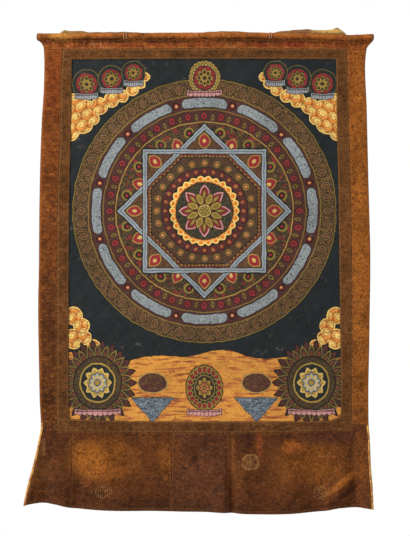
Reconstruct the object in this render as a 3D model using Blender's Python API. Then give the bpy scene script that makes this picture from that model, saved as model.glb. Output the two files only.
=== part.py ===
"""Thangka scroll painting hanging on its top rod: a painted canvas in two brocade frames, with a flared skirt.

The origin is the middle of the rod's axis. +Z is up, +X runs to the right of someone who faces the painting,
and the painted side faces -Y. The tables are in millimetres, and the meshes in metres.
"""
import math
from collections import Counter, namedtuple

import bmesh
import bpy
from mathutils import Vector

MM = 0.001
GAP = 0.3

# Driving sizes
ROD_RADIUS = 5.4
ROD_PROUD = 1.5
SLEEVE_RADIUS = 7.0
SLEEVE_CLOTH = 1.2
BROCADE = 1.5
CANVAS = 1.0
CANVAS_LAP = 6.0
CANVAS_LAP_LOW = 10.0
CANVAS_BEHIND = 0.6
BINDING_WIDTH = 4.0
BINDING_CLOTH = 0.8
VEIL_CLOTH = 1.0
TIE_RADIUS = 0.8
SLEEVE_PINCH = 1.6

# Steps of the meshes
ROD_SIDES = 12
ROD_STEPS = 34
SLEEVE_SIDES = 14
BAND_LEVELS = 4
BORDER_ROWS = 30
SKIRT_ROWS = 12
VEIL_STEPS = 46
SHARP_ANGLE = math.radians(50)

Edge = namedtuple("Edge", "z x")
Level = namedtuple("Level", "x z")
HemFold = namedtuple("HemFold", "x_top x_hem width height")
Wrinkle = namedtuple("Wrinkle", "x_start z_start x_end z_end width height")

# Middle line of the rod, a natural stick that dips near its right end
ROD_LINE = [Level(-336, -2.0), Level(-240, -1.6), Level(-160, -1.2), Level(-60, -0.4), Level(0, 0), Level(75, 0.4),
            Level(125, -1.0), Level(200, -1.4), Level(250, -3.2), Level(289, -5.0), Level(335, -2.6)]

# Outer edges of the whole hanging: the sleeve's flared ends, the straight sides and the skirt
LEFT_EDGE = [Edge(0, -336), Edge(-6, -336), Edge(-10, -331), Edge(-17, -326), Edge(-25, -323.4), Edge(-60, -322.2),
             Edge(-100, -323), Edge(-168, -327), Edge(-310, -331.6), Edge(-448, -332.8), Edge(-536, -334.4),
             Edge(-640, -333.2), Edge(-728, -331.4), Edge(-778, -328.8), Edge(-810, -333.8), Edge(-854, -343.4),
             Edge(-900, -355.4), Edge(-938, -362.8)]
RIGHT_EDGE = [Edge(0, 335), Edge(-7, 335), Edge(-12, 331), Edge(-19, 325.6), Edge(-26, 322.2), Edge(-65, 319),
              Edge(-148, 322.4), Edge(-275, 325.2), Edge(-448, 329.4), Edge(-602, 327.6), Edge(-710, 325.6),
              Edge(-772, 326), Edge(-808, 328.4), Edge(-860, 330), Edge(-900, 333), Edge(-946, 335)]
HEM = [Level(-363, -938), Level(-347, -934.6), Level(-325, -933.2), Level(-301, -936.2), Level(-271, -943.4),
       Level(-235, -947), Level(-150, -950), Level(-11, -951.6), Level(53, -954.4), Level(129, -956.8),
       Level(169, -955.8), Level(209, -953), Level(239, -950.6), Level(269, -945.2), Level(305, -943.2),
       Level(336, -945.8)]

# Seams between the heading, the two frames and the skirt
HEADING_SEAM = [Level(-340, -28), Level(-285, -26.6), Level(0, -25.4), Level(285, -26.4), Level(340, -28)]
FRAME_LEFT = [Edge(-25, -284.6), Edge(-78, -288.4), Edge(-190, -290.2), Edge(-328, -295.6), Edge(-448, -296.6),
              Edge(-792, -296.6)]
FRAME_RIGHT = [Edge(-25, 283.4), Edge(-148, 286), Edge(-228, 288.2), Edge(-328, 291), Edge(-578, 293.4),
               Edge(-792, 292)]
FRAME_LOW = [Level(-297, -791), Level(-100, -792.6), Level(60, -793.4), Level(200, -791.5), Level(292, -788.6)]
SIDE_END_LEFT = -773.4
SIDE_END_RIGHT = -777.2
DOOR_LEFT = -67.8
DOOR_RIGHT = 43
SKIRT_SEAM_TOP = -266.6
SKIRT_SEAM_HEM = -269.4
BORDER_LOW_HEIGHT = 22

# Opening of the inner frame, through which the painting shows
OPENING_LEFT = [Edge(-47, -267.2), Edge(-168, -269), Edge(-328, -272.4), Edge(-528, -273.8), Edge(-728, -273.6),
                Edge(-766, -271.6)]
OPENING_RIGHT = [Edge(-47, 261), Edge(-188, 263), Edge(-328, 266), Edge(-608, 269.6), Edge(-728, 271),
                 Edge(-766, 271)]
OPENING_TOP = [Level(-290, -47.4), Level(0, -45.8), Level(286, -47)]
OPENING_LOW = [Level(-297, -766), Level(-271, -766.4), Level(-191, -769), Level(-60, -771), Level(209, -771),
               Level(245, -769.2), Level(260, -766), Level(267, -761), Level(271, -757), Level(293, -756)]

# Soft folds that open towards the hem: a positive height comes forward
HEM_FOLDS = [HemFold(-322, -354, 22, 15), HemFold(-306, -328, 12, -7), HemFold(-280, -292, 20, 9),
             HemFold(-250, -252, 14, -6), HemFold(-180, -186, 34, 8), HemFold(-112, -112, 24, -5),
             HemFold(-40, -34, 26, 4), HemFold(24, 30, 16, 7), HemFold(52, 53, 7, -11), HemFold(74, 78, 18, 9),
             HemFold(168, 160, 40, 6), HemFold(236, 226, 24, -6), HemFold(300, 302, 12, -7),
             HemFold(318, 330, 18, 14)]
# Wrinkles that fade at both ends
WRINKLES = [Wrinkle(290, -880, 232, -950, 13, 10), Wrinkle(300, -876, 306, -926, 6, -5),
            Wrinkle(-20, -820, -14, -868, 7, -5), Wrinkle(-186, -886, -166, -904, 6, -4),
            Wrinkle(-190, -852, -130, -860, 6, -4), Wrinkle(4, -862, 22, -884, 6, 4),
            Wrinkle(-310, -800, -292, -880, 12, 5)]
FOLDS_START = -772
FOLDS_OPENING = 1.3
# Long shallow waves left by years of storage as a roll, and side edges that curl forward
ROLLED_WAVE = 190
ROLLED_LEAN = 260
ROLLED_HEIGHT = 1.4
SIDE_CURL = 3.0
SIDE_CURL_WIDTH = 22
FLAT_TOP = 120
SKIRT_TOP = -792
SKIRT_LENGTH = 160

# Upper edge of the folded veil behind the sleeve, with its two pointed corners
VEIL_TOP = [Level(-294, 5.0), Level(-287, 10.2), Level(-282, 13.2), Level(-276, 11.6), Level(-251, 11.2),
            Level(-231, 8.8), Level(-181, 9.0), Level(-161, 9.4), Level(-139, 8.2), Level(-111, 6.2), Level(-31, 6.0),
            Level(9, 9.6), Level(45, 10.8), Level(89, 8.8), Level(129, 7.4), Level(149, 10.2), Level(181, 13.4),
            Level(201, 14.6), Level(229, 12.6), Level(256, 14.8), Level(263, 17.8), Level(269, 14.6), Level(277, 9.4),
            Level(283, 3.4)]
VEIL_TAIL = -76
VEIL_TURN = 1.4
VEIL_SEWN = 3.2

# Where the two legs of each thread tie lie along the sleeve
TIE_PAIRS = {"hanging_tie_left": (-163.4, -157.6), "hanging_tie_right": (127.8, 132.0)}
TIE_FRONT = math.radians(218)
TIE_BACK = math.radians(62)

RUST = (0.30, 0.115, 0.035)
DARK_RUST = (0.17, 0.065, 0.025)
BROWN = (0.115, 0.055, 0.022)
GOLD = (0.62, 0.33, 0.09)
SLATE = (0.07, 0.085, 0.08)
STRAW = (0.45, 0.30, 0.10)
BEIGE = (0.60, 0.38, 0.24)
WOOD = (0.10, 0.05, 0.025)


def clear_scene():
    for item in list(bpy.data.objects):
        bpy.data.objects.remove(item)


def smooth(rows, at):
    """Value of a two-column table at a place, on a smooth curve that never swings past its rows."""
    places, values = zip(*sorted(rows))
    if at <= places[0]:
        return values[0]
    if at >= places[-1]:
        return values[-1]
    rises = [(v1 - v0) / (p1 - p0) for p0, p1, v0, v1 in zip(places, places[1:], values, values[1:])]
    slopes = [rises[0]]
    for before, after in zip(rises, rises[1:]):
        slopes.append(0 if before * after <= 0 else 2 * before * after / (before + after))
    slopes.append(rises[-1])
    k = max(i for i in range(len(places) - 1) if places[i] <= at)
    span = places[k + 1] - places[k]
    t = (at - places[k]) / span
    start = (1 + 2 * t) * (1 - t) ** 2 * values[k] + t * (1 - t) ** 2 * span * slopes[k]
    end = t * t * (3 - 2 * t) * values[k + 1] + t * t * (t - 1) * span * slopes[k + 1]
    return start + end


def ease(t):
    t = min(1, max(0, t))
    return t * t * (3 - 2 * t)


def bell(distance, width):
    return math.exp(-(distance / width) ** 2 / 2)


def along(x, z, start, end):
    """How far a place lies along a line from start to end, from 0 to 1, and its distance to one side."""
    line = Vector(end) - Vector(start)
    place = Vector((x, z)) - Vector(start)
    return place.dot(line) / line.length_squared, abs(place.x * line.y - place.y * line.x) / line.length


def depth(x, z):
    """Depth of the hanging cloth at a place: positive is away from the viewer."""
    fall = ease(-z / FLAT_TOP)
    y = ROLLED_HEIGHT * fall * math.sin(2 * math.pi * z / ROLLED_WAVE + x / ROLLED_LEAN)
    y -= SIDE_CURL * fall * bell(x - smooth(LEFT_EDGE, z), SIDE_CURL_WIDTH)
    y -= SIDE_CURL * fall * bell(x - smooth(RIGHT_EDGE, z), SIDE_CURL_WIDTH)
    down = (FOLDS_START - z) / SKIRT_LENGTH
    if down <= 0:
        return y
    for fold in HEM_FOLDS:
        middle = fold.x_top + (fold.x_hem - fold.x_top) * down
        y -= fold.height * ease(down) ** FOLDS_OPENING * bell(x - middle, fold.width)
    for wrinkle in WRINKLES:
        t, side = along(x, z, (wrinkle.x_start, wrinkle.z_start), (wrinkle.x_end, wrinkle.z_end))
        if 0 < t < 1:
            y -= wrinkle.height * math.sin(math.pi * t) * bell(side, wrinkle.width)
    return y


def material(name, colour, roughness):
    made = bpy.data.materials.new(name)
    made.use_nodes = True
    shader = made.node_tree.nodes["Principled BSDF"]
    shader.inputs["Base Color"].default_value = (*colour, 1)
    shader.inputs["Roughness"].default_value = roughness
    return made


def place_object(name, data, finish):
    item = bpy.data.objects.new(name, data)
    bpy.context.scene.collection.objects.link(item)
    data.materials.append(finish)


def finish_mesh(name, built, finish):
    """Turns a closed bmesh into an object that is shaded smooth, with its sharp edges kept."""
    bmesh.ops.recalc_face_normals(built, faces=built.faces[:])
    mesh = bpy.data.meshes.new(name)
    built.to_mesh(mesh)
    built.free()
    mesh.shade_smooth()
    mesh.set_sharp_from_angle(angle=SHARP_ANGLE)
    place_object(name, mesh, finish)


class Patch:
    """A four-sided piece of cloth between a left, a right, a lower and an upper line, on a grid of its own."""

    def __init__(self, left, right, low, high, columns, rows):
        self.left, self.right, self.low, self.high = left, right, low, high
        self.columns, self.rows = columns, rows

    def place(self, column, row):
        """The (x, z) of a grid point, which lies on both of its lines."""
        u, v = column / self.columns, row / self.rows
        z = (self.low(0) + self.high(0)) / 2
        for _ in range(12):
            x = self.left(z) + (self.right(z) - self.left(z)) * u
            z = self.low(x) + (self.high(x) - self.low(x)) * v
        return x, z


def sheet(name, finish, patches, thickness=BROCADE, behind=0.0):
    """A closed sheet of cloth on the hanging surface: patches that meet, thickened along Y."""
    built = bmesh.new()
    for patch in patches:
        grid = []
        for row in range(patch.rows + 1):
            places = [patch.place(column, row) for column in range(patch.columns + 1)]
            fronts = [Vector((x, depth(x, z) + behind - thickness / 2, z)) * MM for x, z in places]
            grid.append([built.verts.new(point) for point in fronts])
        for low, high in zip(grid, grid[1:]):
            for a, b, c, d in zip(low, low[1:], high[1:], high):
                built.faces.new((a, b, c, d))
    bmesh.ops.remove_doubles(built, verts=built.verts[:], dist=0.02 * MM)
    pulled = bmesh.ops.extrude_face_region(built, geom=built.faces[:])["geom"]
    backs = [item for item in pulled if isinstance(item, bmesh.types.BMVert)]
    bmesh.ops.translate(built, verts=backs, vec=(0, thickness * MM, 0))
    finish_mesh(name, built, finish)


def loft(name, finish, sections, cells):
    """A closed solid through a row of like sections: cells are the faces that fill one section."""
    built = bmesh.new()
    rings = [[built.verts.new(Vector(point) * MM) for point in section] for section in sections]
    sides = Counter()
    for cell in cells:
        sides.update(frozenset(pair) for pair in zip(cell, cell[1:] + cell[:1]))
    rim = [tuple(pair) for pair, uses in sides.items() if uses == 1]
    for first, second in zip(rings, rings[1:]):
        for a, b in rim:
            built.faces.new((first[a], first[b], second[b], second[a]))
    for ring in (rings[0], rings[-1]):
        for cell in cells:
            built.faces.new([ring[k] for k in cell])
    finish_mesh(name, built, finish)


def rod_z(x):
    return smooth(ROD_LINE, x)


def circle(radius, count, start=0.0, sweep=2 * math.pi):
    """Points (y, z) round the rod's axis; start is measured from +Y towards +Z."""
    angles = [start + sweep * k / count for k in range(count)]
    return [(radius * math.cos(angle), radius * math.sin(angle)) for angle in angles]


def make_rod(finish):
    """The round stick inside the sleeve, with flat sawn ends just past it."""
    start, end = smooth(LEFT_EDGE, 0) - ROD_PROUD, smooth(RIGHT_EDGE, 0) + ROD_PROUD
    sections = []
    for step in range(ROD_STEPS + 1):
        x = start + (end - start) * step / ROD_STEPS
        sections.append([(x, y, rod_z(x) + z) for y, z in circle(ROD_RADIUS, ROD_SIDES)])
    loft("top_rod", finish, sections, [tuple(range(ROD_SIDES))])


def heading_section():
    """The heading's section as points (y, z, share) and the cells that fill it.

    The sleeve's points have share 0. The band's go down in levels, where share is the part of the way to its seam.
    """
    half = math.asin(SLEEVE_CLOTH / 2 / SLEEVE_RADIUS)
    start = -math.pi / 2 + half
    sweep = (2 * math.pi - 2 * half) * SLEEVE_SIDES / (SLEEVE_SIDES - 1)
    outer = circle(SLEEVE_RADIUS, SLEEVE_SIDES, start, sweep)
    inner = circle(SLEEVE_RADIUS - SLEEVE_CLOTH, SLEEVE_SIDES, start, sweep)
    points = [(y, z, 0) for y, z in outer + inner]
    after = [(k + 1) % SLEEVE_SIDES for k in range(SLEEVE_SIDES)]
    cells = [(k, after[k], SLEEVE_SIDES + after[k], SLEEVE_SIDES + k) for k in range(SLEEVE_SIDES)]
    back, front = 0, SLEEVE_SIDES - 1
    for level in range(1, BAND_LEVELS + 1):
        share = level / BAND_LEVELS
        pinch = SLEEVE_PINCH * math.sin(math.pi * share) ** 2
        points += [(pinch + side * SLEEVE_CLOTH / 2, -SLEEVE_RADIUS, share) for side in (1, -1)]
        cells.append((back, len(points) - 2, len(points) - 1, front))
        back, front = len(points) - 2, len(points) - 1
    return points, cells


def heading_point(across, y, z, share):
    """A point of the heading's section, moved to its place across the hanging, from 0 at the left to 1."""
    left, right = smooth(LEFT_EDGE, 0), smooth(RIGHT_EDGE, 0)
    x = left + (right - left) * across
    if share == 0:
        return x, y, z + rod_z(x)
    for _ in range(4):
        height = z + (smooth(HEADING_SEAM, x) + GAP / 2 - z) * share
        left, right = smooth(LEFT_EDGE, height), smooth(RIGHT_EDGE, height)
        x = left + (right - left) * across
    return x, y + depth(x, height) * share, height + rod_z(x) * (1 - share)


def make_heading(finish):
    """One cloth: turned over the rod as a sleeve, sewn under it, and flared at both ends."""
    points, cells = heading_section()
    sections = [[heading_point(step / ROD_STEPS, *point) for point in points] for step in range(ROD_STEPS + 1)]
    loft("heading", finish, sections, cells)


def line(table, by=0.0):
    """A table's smooth line, moved aside or up by a distance."""
    return lambda at: smooth(table, at) + by


def level(value):
    """A line that is the same all the way."""
    return lambda at: value


def make_frames(finishes):
    """The inner frame's four strips and the outer frame's two, butted at their seams."""
    half = GAP / 2
    seam, opening_top, opening_low = line(HEADING_SEAM, -half), line(OPENING_TOP, -half), line(OPENING_LOW, half)
    left, right = line(FRAME_LEFT, half), line(FRAME_RIGHT, -half)
    inner, outer = finishes["brown"], finishes["rust"]
    sheet("inner_border_top", inner, [Patch(left, right, line(OPENING_TOP), seam, 24, 2)])
    sheet("inner_border_bottom", inner, [Patch(left, right, line(FRAME_LOW, half), line(OPENING_LOW), 30, 2)])
    sheet("inner_border_left", inner,
          [Patch(left, line(OPENING_LEFT), opening_low, opening_top, 2, BORDER_ROWS)])
    sheet("inner_border_right", inner,
          [Patch(line(OPENING_RIGHT), right, opening_low, opening_top, 2, BORDER_ROWS)])
    sheet("outer_border_left", outer,
          [Patch(line(LEFT_EDGE), line(FRAME_LEFT, -half), level(SIDE_END_LEFT + half), seam, 4, BORDER_ROWS)])
    sheet("outer_border_right", outer,
          [Patch(line(FRAME_RIGHT, half), line(RIGHT_EDGE), level(SIDE_END_RIGHT + half), seam, 4, BORDER_ROWS)])


def make_painting(finish):
    """The painted canvas, whose edges lap under the inner frame."""
    patch = Patch(line(OPENING_LEFT, -CANVAS_LAP), line(OPENING_RIGHT, CANVAS_LAP),
                  line(FRAME_LOW, BORDER_LOW_HEIGHT - CANVAS_LAP_LOW), line(OPENING_TOP, CANVAS_LAP), 10, 28)
    sheet("painting", finish, [patch], CANVAS, (BROCADE + CANVAS) / 2 + CANVAS_BEHIND)


def skirt_seam(z):
    """The seam between the left side panel and the left panel, which leans out a little towards the hem."""
    down = (SKIRT_TOP - z) / SKIRT_LENGTH
    return SKIRT_SEAM_TOP + (SKIRT_SEAM_HEM - SKIRT_SEAM_TOP) * down


def make_skirt(finishes):
    """Four cut panels, of which the two outer ones step up beside the inner frame, and their bindings."""
    half = GAP / 2
    inset = BINDING_CLOTH + GAP
    dark, rows = finishes["dark"], SKIRT_ROWS
    hem, top = line(HEM), line(FRAME_LOW, -half)
    left_edge, right_edge = line(LEFT_EDGE, inset), line(RIGHT_EDGE, -inset)
    step_left, step_right = level(smooth(FRAME_LEFT, SKIRT_TOP) - half), level(smooth(FRAME_RIGHT, SKIRT_TOP) + half)
    far_left = Patch(left_edge, step_left, hem, top, 6, rows)
    far_left_top = Patch(left_edge, step_left, top, level(SIDE_END_LEFT - half), 6, 2)
    beside_seam = Patch(step_left, lambda z: skirt_seam(z) - half, hem, top, 3, rows)
    far_right = Patch(step_right, right_edge, hem, top, 4, rows)
    far_right_top = Patch(step_right, right_edge, top, level(SIDE_END_RIGHT - half), 4, 2)
    sheet("skirt_side_left", dark, [far_left, beside_seam, far_left_top])
    sheet("skirt_left", dark,
          [Patch(lambda z: skirt_seam(z) + half, level(DOOR_LEFT - half), hem, top, 14, rows)])
    sheet("skirt_door", finishes["door"],
          [Patch(level(DOOR_LEFT + half), level(DOOR_RIGHT - half), hem, top, 8, rows)])
    sheet("skirt_right", dark,
          [Patch(level(DOOR_RIGHT + half), step_right, hem, top, 20, rows), far_right, far_right_top])
    left_places = [(patch.place(0, row), patch.place(1, row))
                   for patch in (far_left, far_left_top) for row in range(patch.rows + 1)]
    right_places = [(patch.place(patch.columns, row), patch.place(patch.columns - 1, row))
                    for patch in (far_right, far_right_top) for row in range(patch.rows + 1)]
    make_binding("skirt_binding_left", finishes["gold"], left_places, 1)
    make_binding("skirt_binding_right", finishes["gold"], right_places, -1)


def make_binding(name, finish, places, inward):
    """A narrow strip folded over an edge of the skirt, a U in section that leans as the cloth does there.

    Each place is a point on the cloth's edge and the next point in from it; inward is +1 or -1 along X.
    """
    outer = BROCADE / 2 + GAP + BINDING_CLOTH
    inner = BROCADE / 2 + GAP
    web = BINDING_CLOTH
    profile = [(0, -outer), (BINDING_WIDTH, -outer), (BINDING_WIDTH, -inner), (web, -inner),
               (web, inner), (BINDING_WIDTH, inner), (BINDING_WIDTH, outer), (0, outer)]
    cells = [(0, 1, 2, 3), (0, 3, 4, 7), (4, 5, 6, 7)]
    sections = []
    for k, ((edge, z), (inside, z_inside)) in enumerate(places):
        if k and z - places[k - 1][0][1] < GAP:
            continue
        y = depth(edge, z)
        lean = (depth(inside, z_inside) - y) / (inside - edge)
        section = []
        for across, out in profile:
            aside = inward * (across - web - GAP)
            section.append((edge + aside, y + out + lean * aside, z))
        sections.append(section)
    loft(name, finish, sections, cells)


def veil_line(top, axis):
    """Middle line (y, z) of the folded veil: sewn under the sleeve, up behind it, over, and down at the back."""
    near = SLEEVE_RADIUS + GAP + VEIL_CLOTH / 2 + 0.2
    low = top - VEIL_CLOTH / 2 - VEIL_TURN
    route = [(VEIL_SEWN, axis - 25), (VEIL_SEWN + 0.4, axis - 17), (VEIL_SEWN + 2, axis - 9.5), (near, axis - 1)]
    for angle in (math.pi * k / 4 for k in range(5)):
        route.append((near + VEIL_TURN * (1 - math.cos(angle)), low + VEIL_TURN * math.sin(angle)))
    route += [(near + 2 * VEIL_TURN, -8), (near + 1.6, -28), (near - 1.2, -52), (near - 2.6, VEIL_TAIL)]
    return route


def offset_route(route, by):
    """The route moved to one side by a distance, point by point."""
    moved = []
    for k, point in enumerate(route):
        before, after = Vector(route[max(0, k - 1)]), Vector(route[min(len(route) - 1, k + 1)])
        moved.append(Vector(point) + (after - before).normalized().orthogonal() * by)
    return moved


def make_veil(finish):
    """The dust veil: a thin silk folded over once behind the sleeve, whose fold rises unevenly above it."""
    start, end = VEIL_TOP[0].x, VEIL_TOP[-1].x
    sections = []
    for step in range(VEIL_STEPS + 1):
        x = start + (end - start) * step / VEIL_STEPS
        ripple = 0.5 * math.sin(x / 17) + 0.4 * math.sin(x / 41 + 1)
        route = veil_line(smooth(VEIL_TOP, x), rod_z(x))
        route = route[:-3] + [(y + ripple, z) for y, z in route[-3:]]
        faces = offset_route(route, VEIL_CLOTH / 2) + offset_route(route, -VEIL_CLOTH / 2)
        sections.append([(x, y, z) for y, z in faces])
    count = len(faces) // 2
    cells = [(k, k + 1, count + k + 1, count + k) for k in range(count - 1)]
    loft("dust_veil", finish, sections, cells)


def make_ties(finish):
    """Two thread ties that come up over the front of the sleeve and turn back behind its crest."""
    reach = SLEEVE_RADIUS + GAP + TIE_RADIUS
    arc_steps, turn_steps = 9, 4
    for name, (first, second) in TIE_PAIRS.items():
        route = []
        middle, half = (first + second) / 2, (second - first) / 2
        for k in range(arc_steps + 1):
            angle = TIE_FRONT + (TIE_BACK - TIE_FRONT) * k / arc_steps
            route.append((first, reach * math.cos(angle), reach * math.sin(angle)))
        for k in range(1, turn_steps):
            bend = math.pi * k / turn_steps
            angle = TIE_BACK - half / reach * math.sin(bend)
            route.append((middle - half * math.cos(bend), reach * math.cos(angle), reach * math.sin(angle)))
        route += [(second, y, z) for _, y, z in reversed(route[:arc_steps + 1])]
        curve = bpy.data.curves.new(name, "CURVE")
        curve.dimensions = "3D"
        curve.bevel_depth = TIE_RADIUS * MM
        curve.bevel_resolution = 2
        curve.use_fill_caps = True
        spline = curve.splines.new("POLY")
        spline.points.add(len(route) - 1)
        for point, (x, y, z) in zip(spline.points, route):
            point.co = (x * MM, y * MM, (z + rod_z(x)) * MM, 1)
        place_object(name, curve, finish)


def main():
    clear_scene()
    finishes = {"rust": material("rust_brocade", RUST, 0.85), "brown": material("brown_brocade", BROWN, 0.85),
                "dark": material("skirt_brocade", DARK_RUST, 0.9), "door": material("door_brocade", DARK_RUST, 0.9),
                "gold": material("golden_binding", GOLD, 0.7)}
    make_rod(material("rod_wood", WOOD, 0.6))
    make_heading(finishes["rust"])
    make_frames(finishes)
    make_painting(material("painted_canvas", SLATE, 0.8))
    make_skirt(finishes)
    make_veil(material("veil_silk", STRAW, 0.55))
    make_ties(material("tie_thread", BEIGE, 0.9))


main()
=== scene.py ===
"""Looks of the thangka scroll painting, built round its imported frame.

Every cloth of the part is made again here as a finer sheet with its own puckers, creases, hems and
stitches, and every surface gets a material made of nodes. The tables repeat the part's own sizes, in
millimetres; x runs to the right of someone who faces the painting, z runs up, and the painted side
faces -Y.
"""
import math
from collections import namedtuple

import bpy
import numpy as np
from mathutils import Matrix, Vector, kdtree


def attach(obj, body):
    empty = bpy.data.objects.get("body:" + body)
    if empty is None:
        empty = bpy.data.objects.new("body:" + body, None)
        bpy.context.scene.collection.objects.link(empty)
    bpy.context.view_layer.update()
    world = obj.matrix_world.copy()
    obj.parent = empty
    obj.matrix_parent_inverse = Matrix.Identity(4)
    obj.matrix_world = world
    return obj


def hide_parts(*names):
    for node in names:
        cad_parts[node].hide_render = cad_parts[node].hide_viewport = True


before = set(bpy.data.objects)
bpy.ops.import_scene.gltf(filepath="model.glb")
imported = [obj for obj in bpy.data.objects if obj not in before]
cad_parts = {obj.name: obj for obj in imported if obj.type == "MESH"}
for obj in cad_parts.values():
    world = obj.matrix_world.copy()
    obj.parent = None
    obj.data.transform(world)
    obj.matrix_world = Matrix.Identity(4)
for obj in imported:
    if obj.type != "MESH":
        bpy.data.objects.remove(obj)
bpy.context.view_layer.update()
MM = 0.001

# Driving sizes of the part
SEAM_GAP = -0.3
SLEEVE_RADIUS = 7.0
SLEEVE_CLOTH = 1.2
BROCADE = 1.5
CANVAS = 1.0
CANVAS_LAP = 6.0
CANVAS_LAP_LOW = 10.0
CANVAS_BEHIND = 0.6
BORDER_LOW_HEIGHT = 22
BINDING_WIDTH = 4.0
BINDING_CLOTH = 0.8
BINDING_CLEAR = 0.3
VEIL_CLOTH = 0.8
TIE_RADIUS = 0.8
SLEEVE_PINCH = 1.6
SLEEVE_MOUTH = 0.1
SLEEVE_ROWS = 30
BAND_ROWS = 12
HEADING_STEPS = 250

# Steps of the meshes
CLOTH_STEP = 2.6
CANVAS_STEP = 4.0
EDGE_STEPS = (0, 0.7, 1.8, 3.4)
MERGE = 0.02
SHARP_ANGLE = math.radians(60)
LEAN_SPAN = 3.0
TOWARD_VIEWER = np.array([0.0, -1.0, 0.0])

# A cloth's edge sinks in a little and thins by a share
EDGE_SINK = 0.35
EDGE_THINNING = 0.6

Edge = namedtuple("Edge", "z x")
Level = namedtuple("Level", "x z")
HemFold = namedtuple("HemFold", "x_top x_hem width height")
Wrinkle = namedtuple("Wrinkle", "x_start z_start x_end z_end width height")
StitchLine = namedtuple("StitchLine", "name seam upright start end finish slot")

# Middle line of the rod, a natural stick that dips near its right end
ROD_LINE = [
    Level(-336, -2.0), Level(-240, -1.6), Level(-160, -1.2), Level(-60, -0.4), Level(0, 0),
    Level(75, 0.4), Level(125, -1.0), Level(200, -1.4), Level(250, -3.2), Level(289, -5.0),
    Level(335, -2.6)
]

# Outer edges of the whole hanging
LEFT_EDGE = [
    Edge(0, -336), Edge(-6, -336), Edge(-10, -331), Edge(-17, -326), Edge(-25, -323.4),
    Edge(-60, -322.2), Edge(-100, -323), Edge(-168, -327), Edge(-310, -331.6), Edge(-448, -332.8),
    Edge(-536, -334.4), Edge(-640, -333.2), Edge(-728, -331.4), Edge(-778, -328.8), Edge(-810, -333.8),
    Edge(-854, -343.4), Edge(-900, -355.4), Edge(-938, -362.8)
]
RIGHT_EDGE = [
    Edge(0, 335), Edge(-7, 335), Edge(-12, 331), Edge(-19, 325.6), Edge(-26, 322.2), Edge(-65, 319),
    Edge(-148, 322.4), Edge(-275, 325.2), Edge(-448, 329.4), Edge(-602, 327.6), Edge(-710, 325.6),
    Edge(-772, 326), Edge(-808, 328.4), Edge(-860, 330), Edge(-900, 333), Edge(-946, 335)
]
HEM = [
    Level(-363, -938), Level(-347, -934.6), Level(-325, -933.2), Level(-301, -936.2),
    Level(-271, -943.4), Level(-235, -947), Level(-150, -950), Level(-11, -951.6), Level(53, -954.4),
    Level(129, -956.8), Level(169, -955.8), Level(209, -953), Level(239, -950.6), Level(269, -945.2),
    Level(305, -943.2), Level(336, -945.8)
]

# Seams between the heading, the two frames and the skirt
HEADING_SEAM = [Level(-340, -28), Level(-285, -26.6), Level(0, -25.4), Level(285, -26.4), Level(340, -28)]
FRAME_LEFT = [
    Edge(-25, -284.6), Edge(-78, -288.4), Edge(-190, -290.2), Edge(-328, -295.6), Edge(-448, -296.6),
    Edge(-792, -296.6)
]
FRAME_RIGHT = [
    Edge(-25, 283.4), Edge(-148, 286), Edge(-228, 288.2), Edge(-328, 291), Edge(-578, 293.4),
    Edge(-792, 292)
]
FRAME_LOW = [
    Level(-297, -791), Level(-100, -792.6), Level(60, -793.4), Level(200, -791.5), Level(292, -788.6)
]
SIDE_END_LEFT = -773.4
SIDE_END_RIGHT = -777.2
DOOR_LEFT = -67.8
DOOR_RIGHT = 43
SKIRT_SEAM_TOP = -266.6
SKIRT_SEAM_HEM = -269.4

# Opening of the inner frame, through which the painting shows
OPENING_LEFT = [
    Edge(-47, -267.2), Edge(-168, -269), Edge(-328, -272.4), Edge(-528, -273.8), Edge(-728, -273.6),
    Edge(-766, -271.6)
]
OPENING_RIGHT = [
    Edge(-47, 261), Edge(-188, 263), Edge(-328, 266), Edge(-608, 269.6), Edge(-728, 271),
    Edge(-766, 271)
]
OPENING_TOP = [Level(-290, -47.4), Level(0, -45.8), Level(286, -47)]
OPENING_LOW = [
    Level(-297, -766), Level(-271, -766.4), Level(-191, -769), Level(-60, -771), Level(209, -771),
    Level(245, -769.2), Level(260, -766), Level(267, -761), Level(271, -757), Level(293, -756)
]

# Soft folds that open towards the hem: a positive height comes forward
HEM_FOLDS = [
    HemFold(-322, -354, 22, 15), HemFold(-306, -328, 12, -7), HemFold(-280, -292, 20, 9),
    HemFold(-250, -252, 14, -6), HemFold(-180, -186, 34, 8), HemFold(-112, -112, 24, -5),
    HemFold(-40, -34, 26, 4), HemFold(24, 30, 16, 7), HemFold(52, 53, 7, -11), HemFold(74, 78, 18, 9),
    HemFold(168, 160, 40, 6), HemFold(236, 226, 24, -6), HemFold(300, 302, 12, -7),
    HemFold(318, 330, 18, 14)
]
# Wrinkles that fade at both ends, and the finer creases that the solids leave out
WRINKLES = [
    Wrinkle(290, -880, 232, -950, 13, 10), Wrinkle(300, -876, 306, -926, 6, -5),
    Wrinkle(-20, -820, -14, -868, 7, -5), Wrinkle(-186, -886, -166, -904, 6, -4),
    Wrinkle(-190, -852, -130, -860, 6, -4), Wrinkle(4, -862, 22, -884, 6, 4),
    Wrinkle(-310, -800, -292, -880, 12, 5)
]
CREASES = [
    Wrinkle(-20, -834, -12, -856, 2.2, -1.6), Wrinkle(-6, -838, -12, -856, 2.0, -1.4),
    Wrinkle(-13, -852, -10, -872, 2.4, -1.8), Wrinkle(6, -872, 22, -890, 2.6, -1.6),
    Wrinkle(-189, -886, -164, -905, 2.6, -1.6), Wrinkle(-170, -857, -132, -866, 2.4, -1.4),
    Wrinkle(-222, -854, -182, -855, 2.6, -1.6), Wrinkle(222, -839, 258, -839, 2.2, 1.3),
    Wrinkle(233, -785, 262, -785, 2.0, 1.2), Wrinkle(-342, -896, -344, -936, 4, -3),
    Wrinkle(309, -890, 306, -912, 3.5, -3)
]
FOLDS_START = -772
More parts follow.
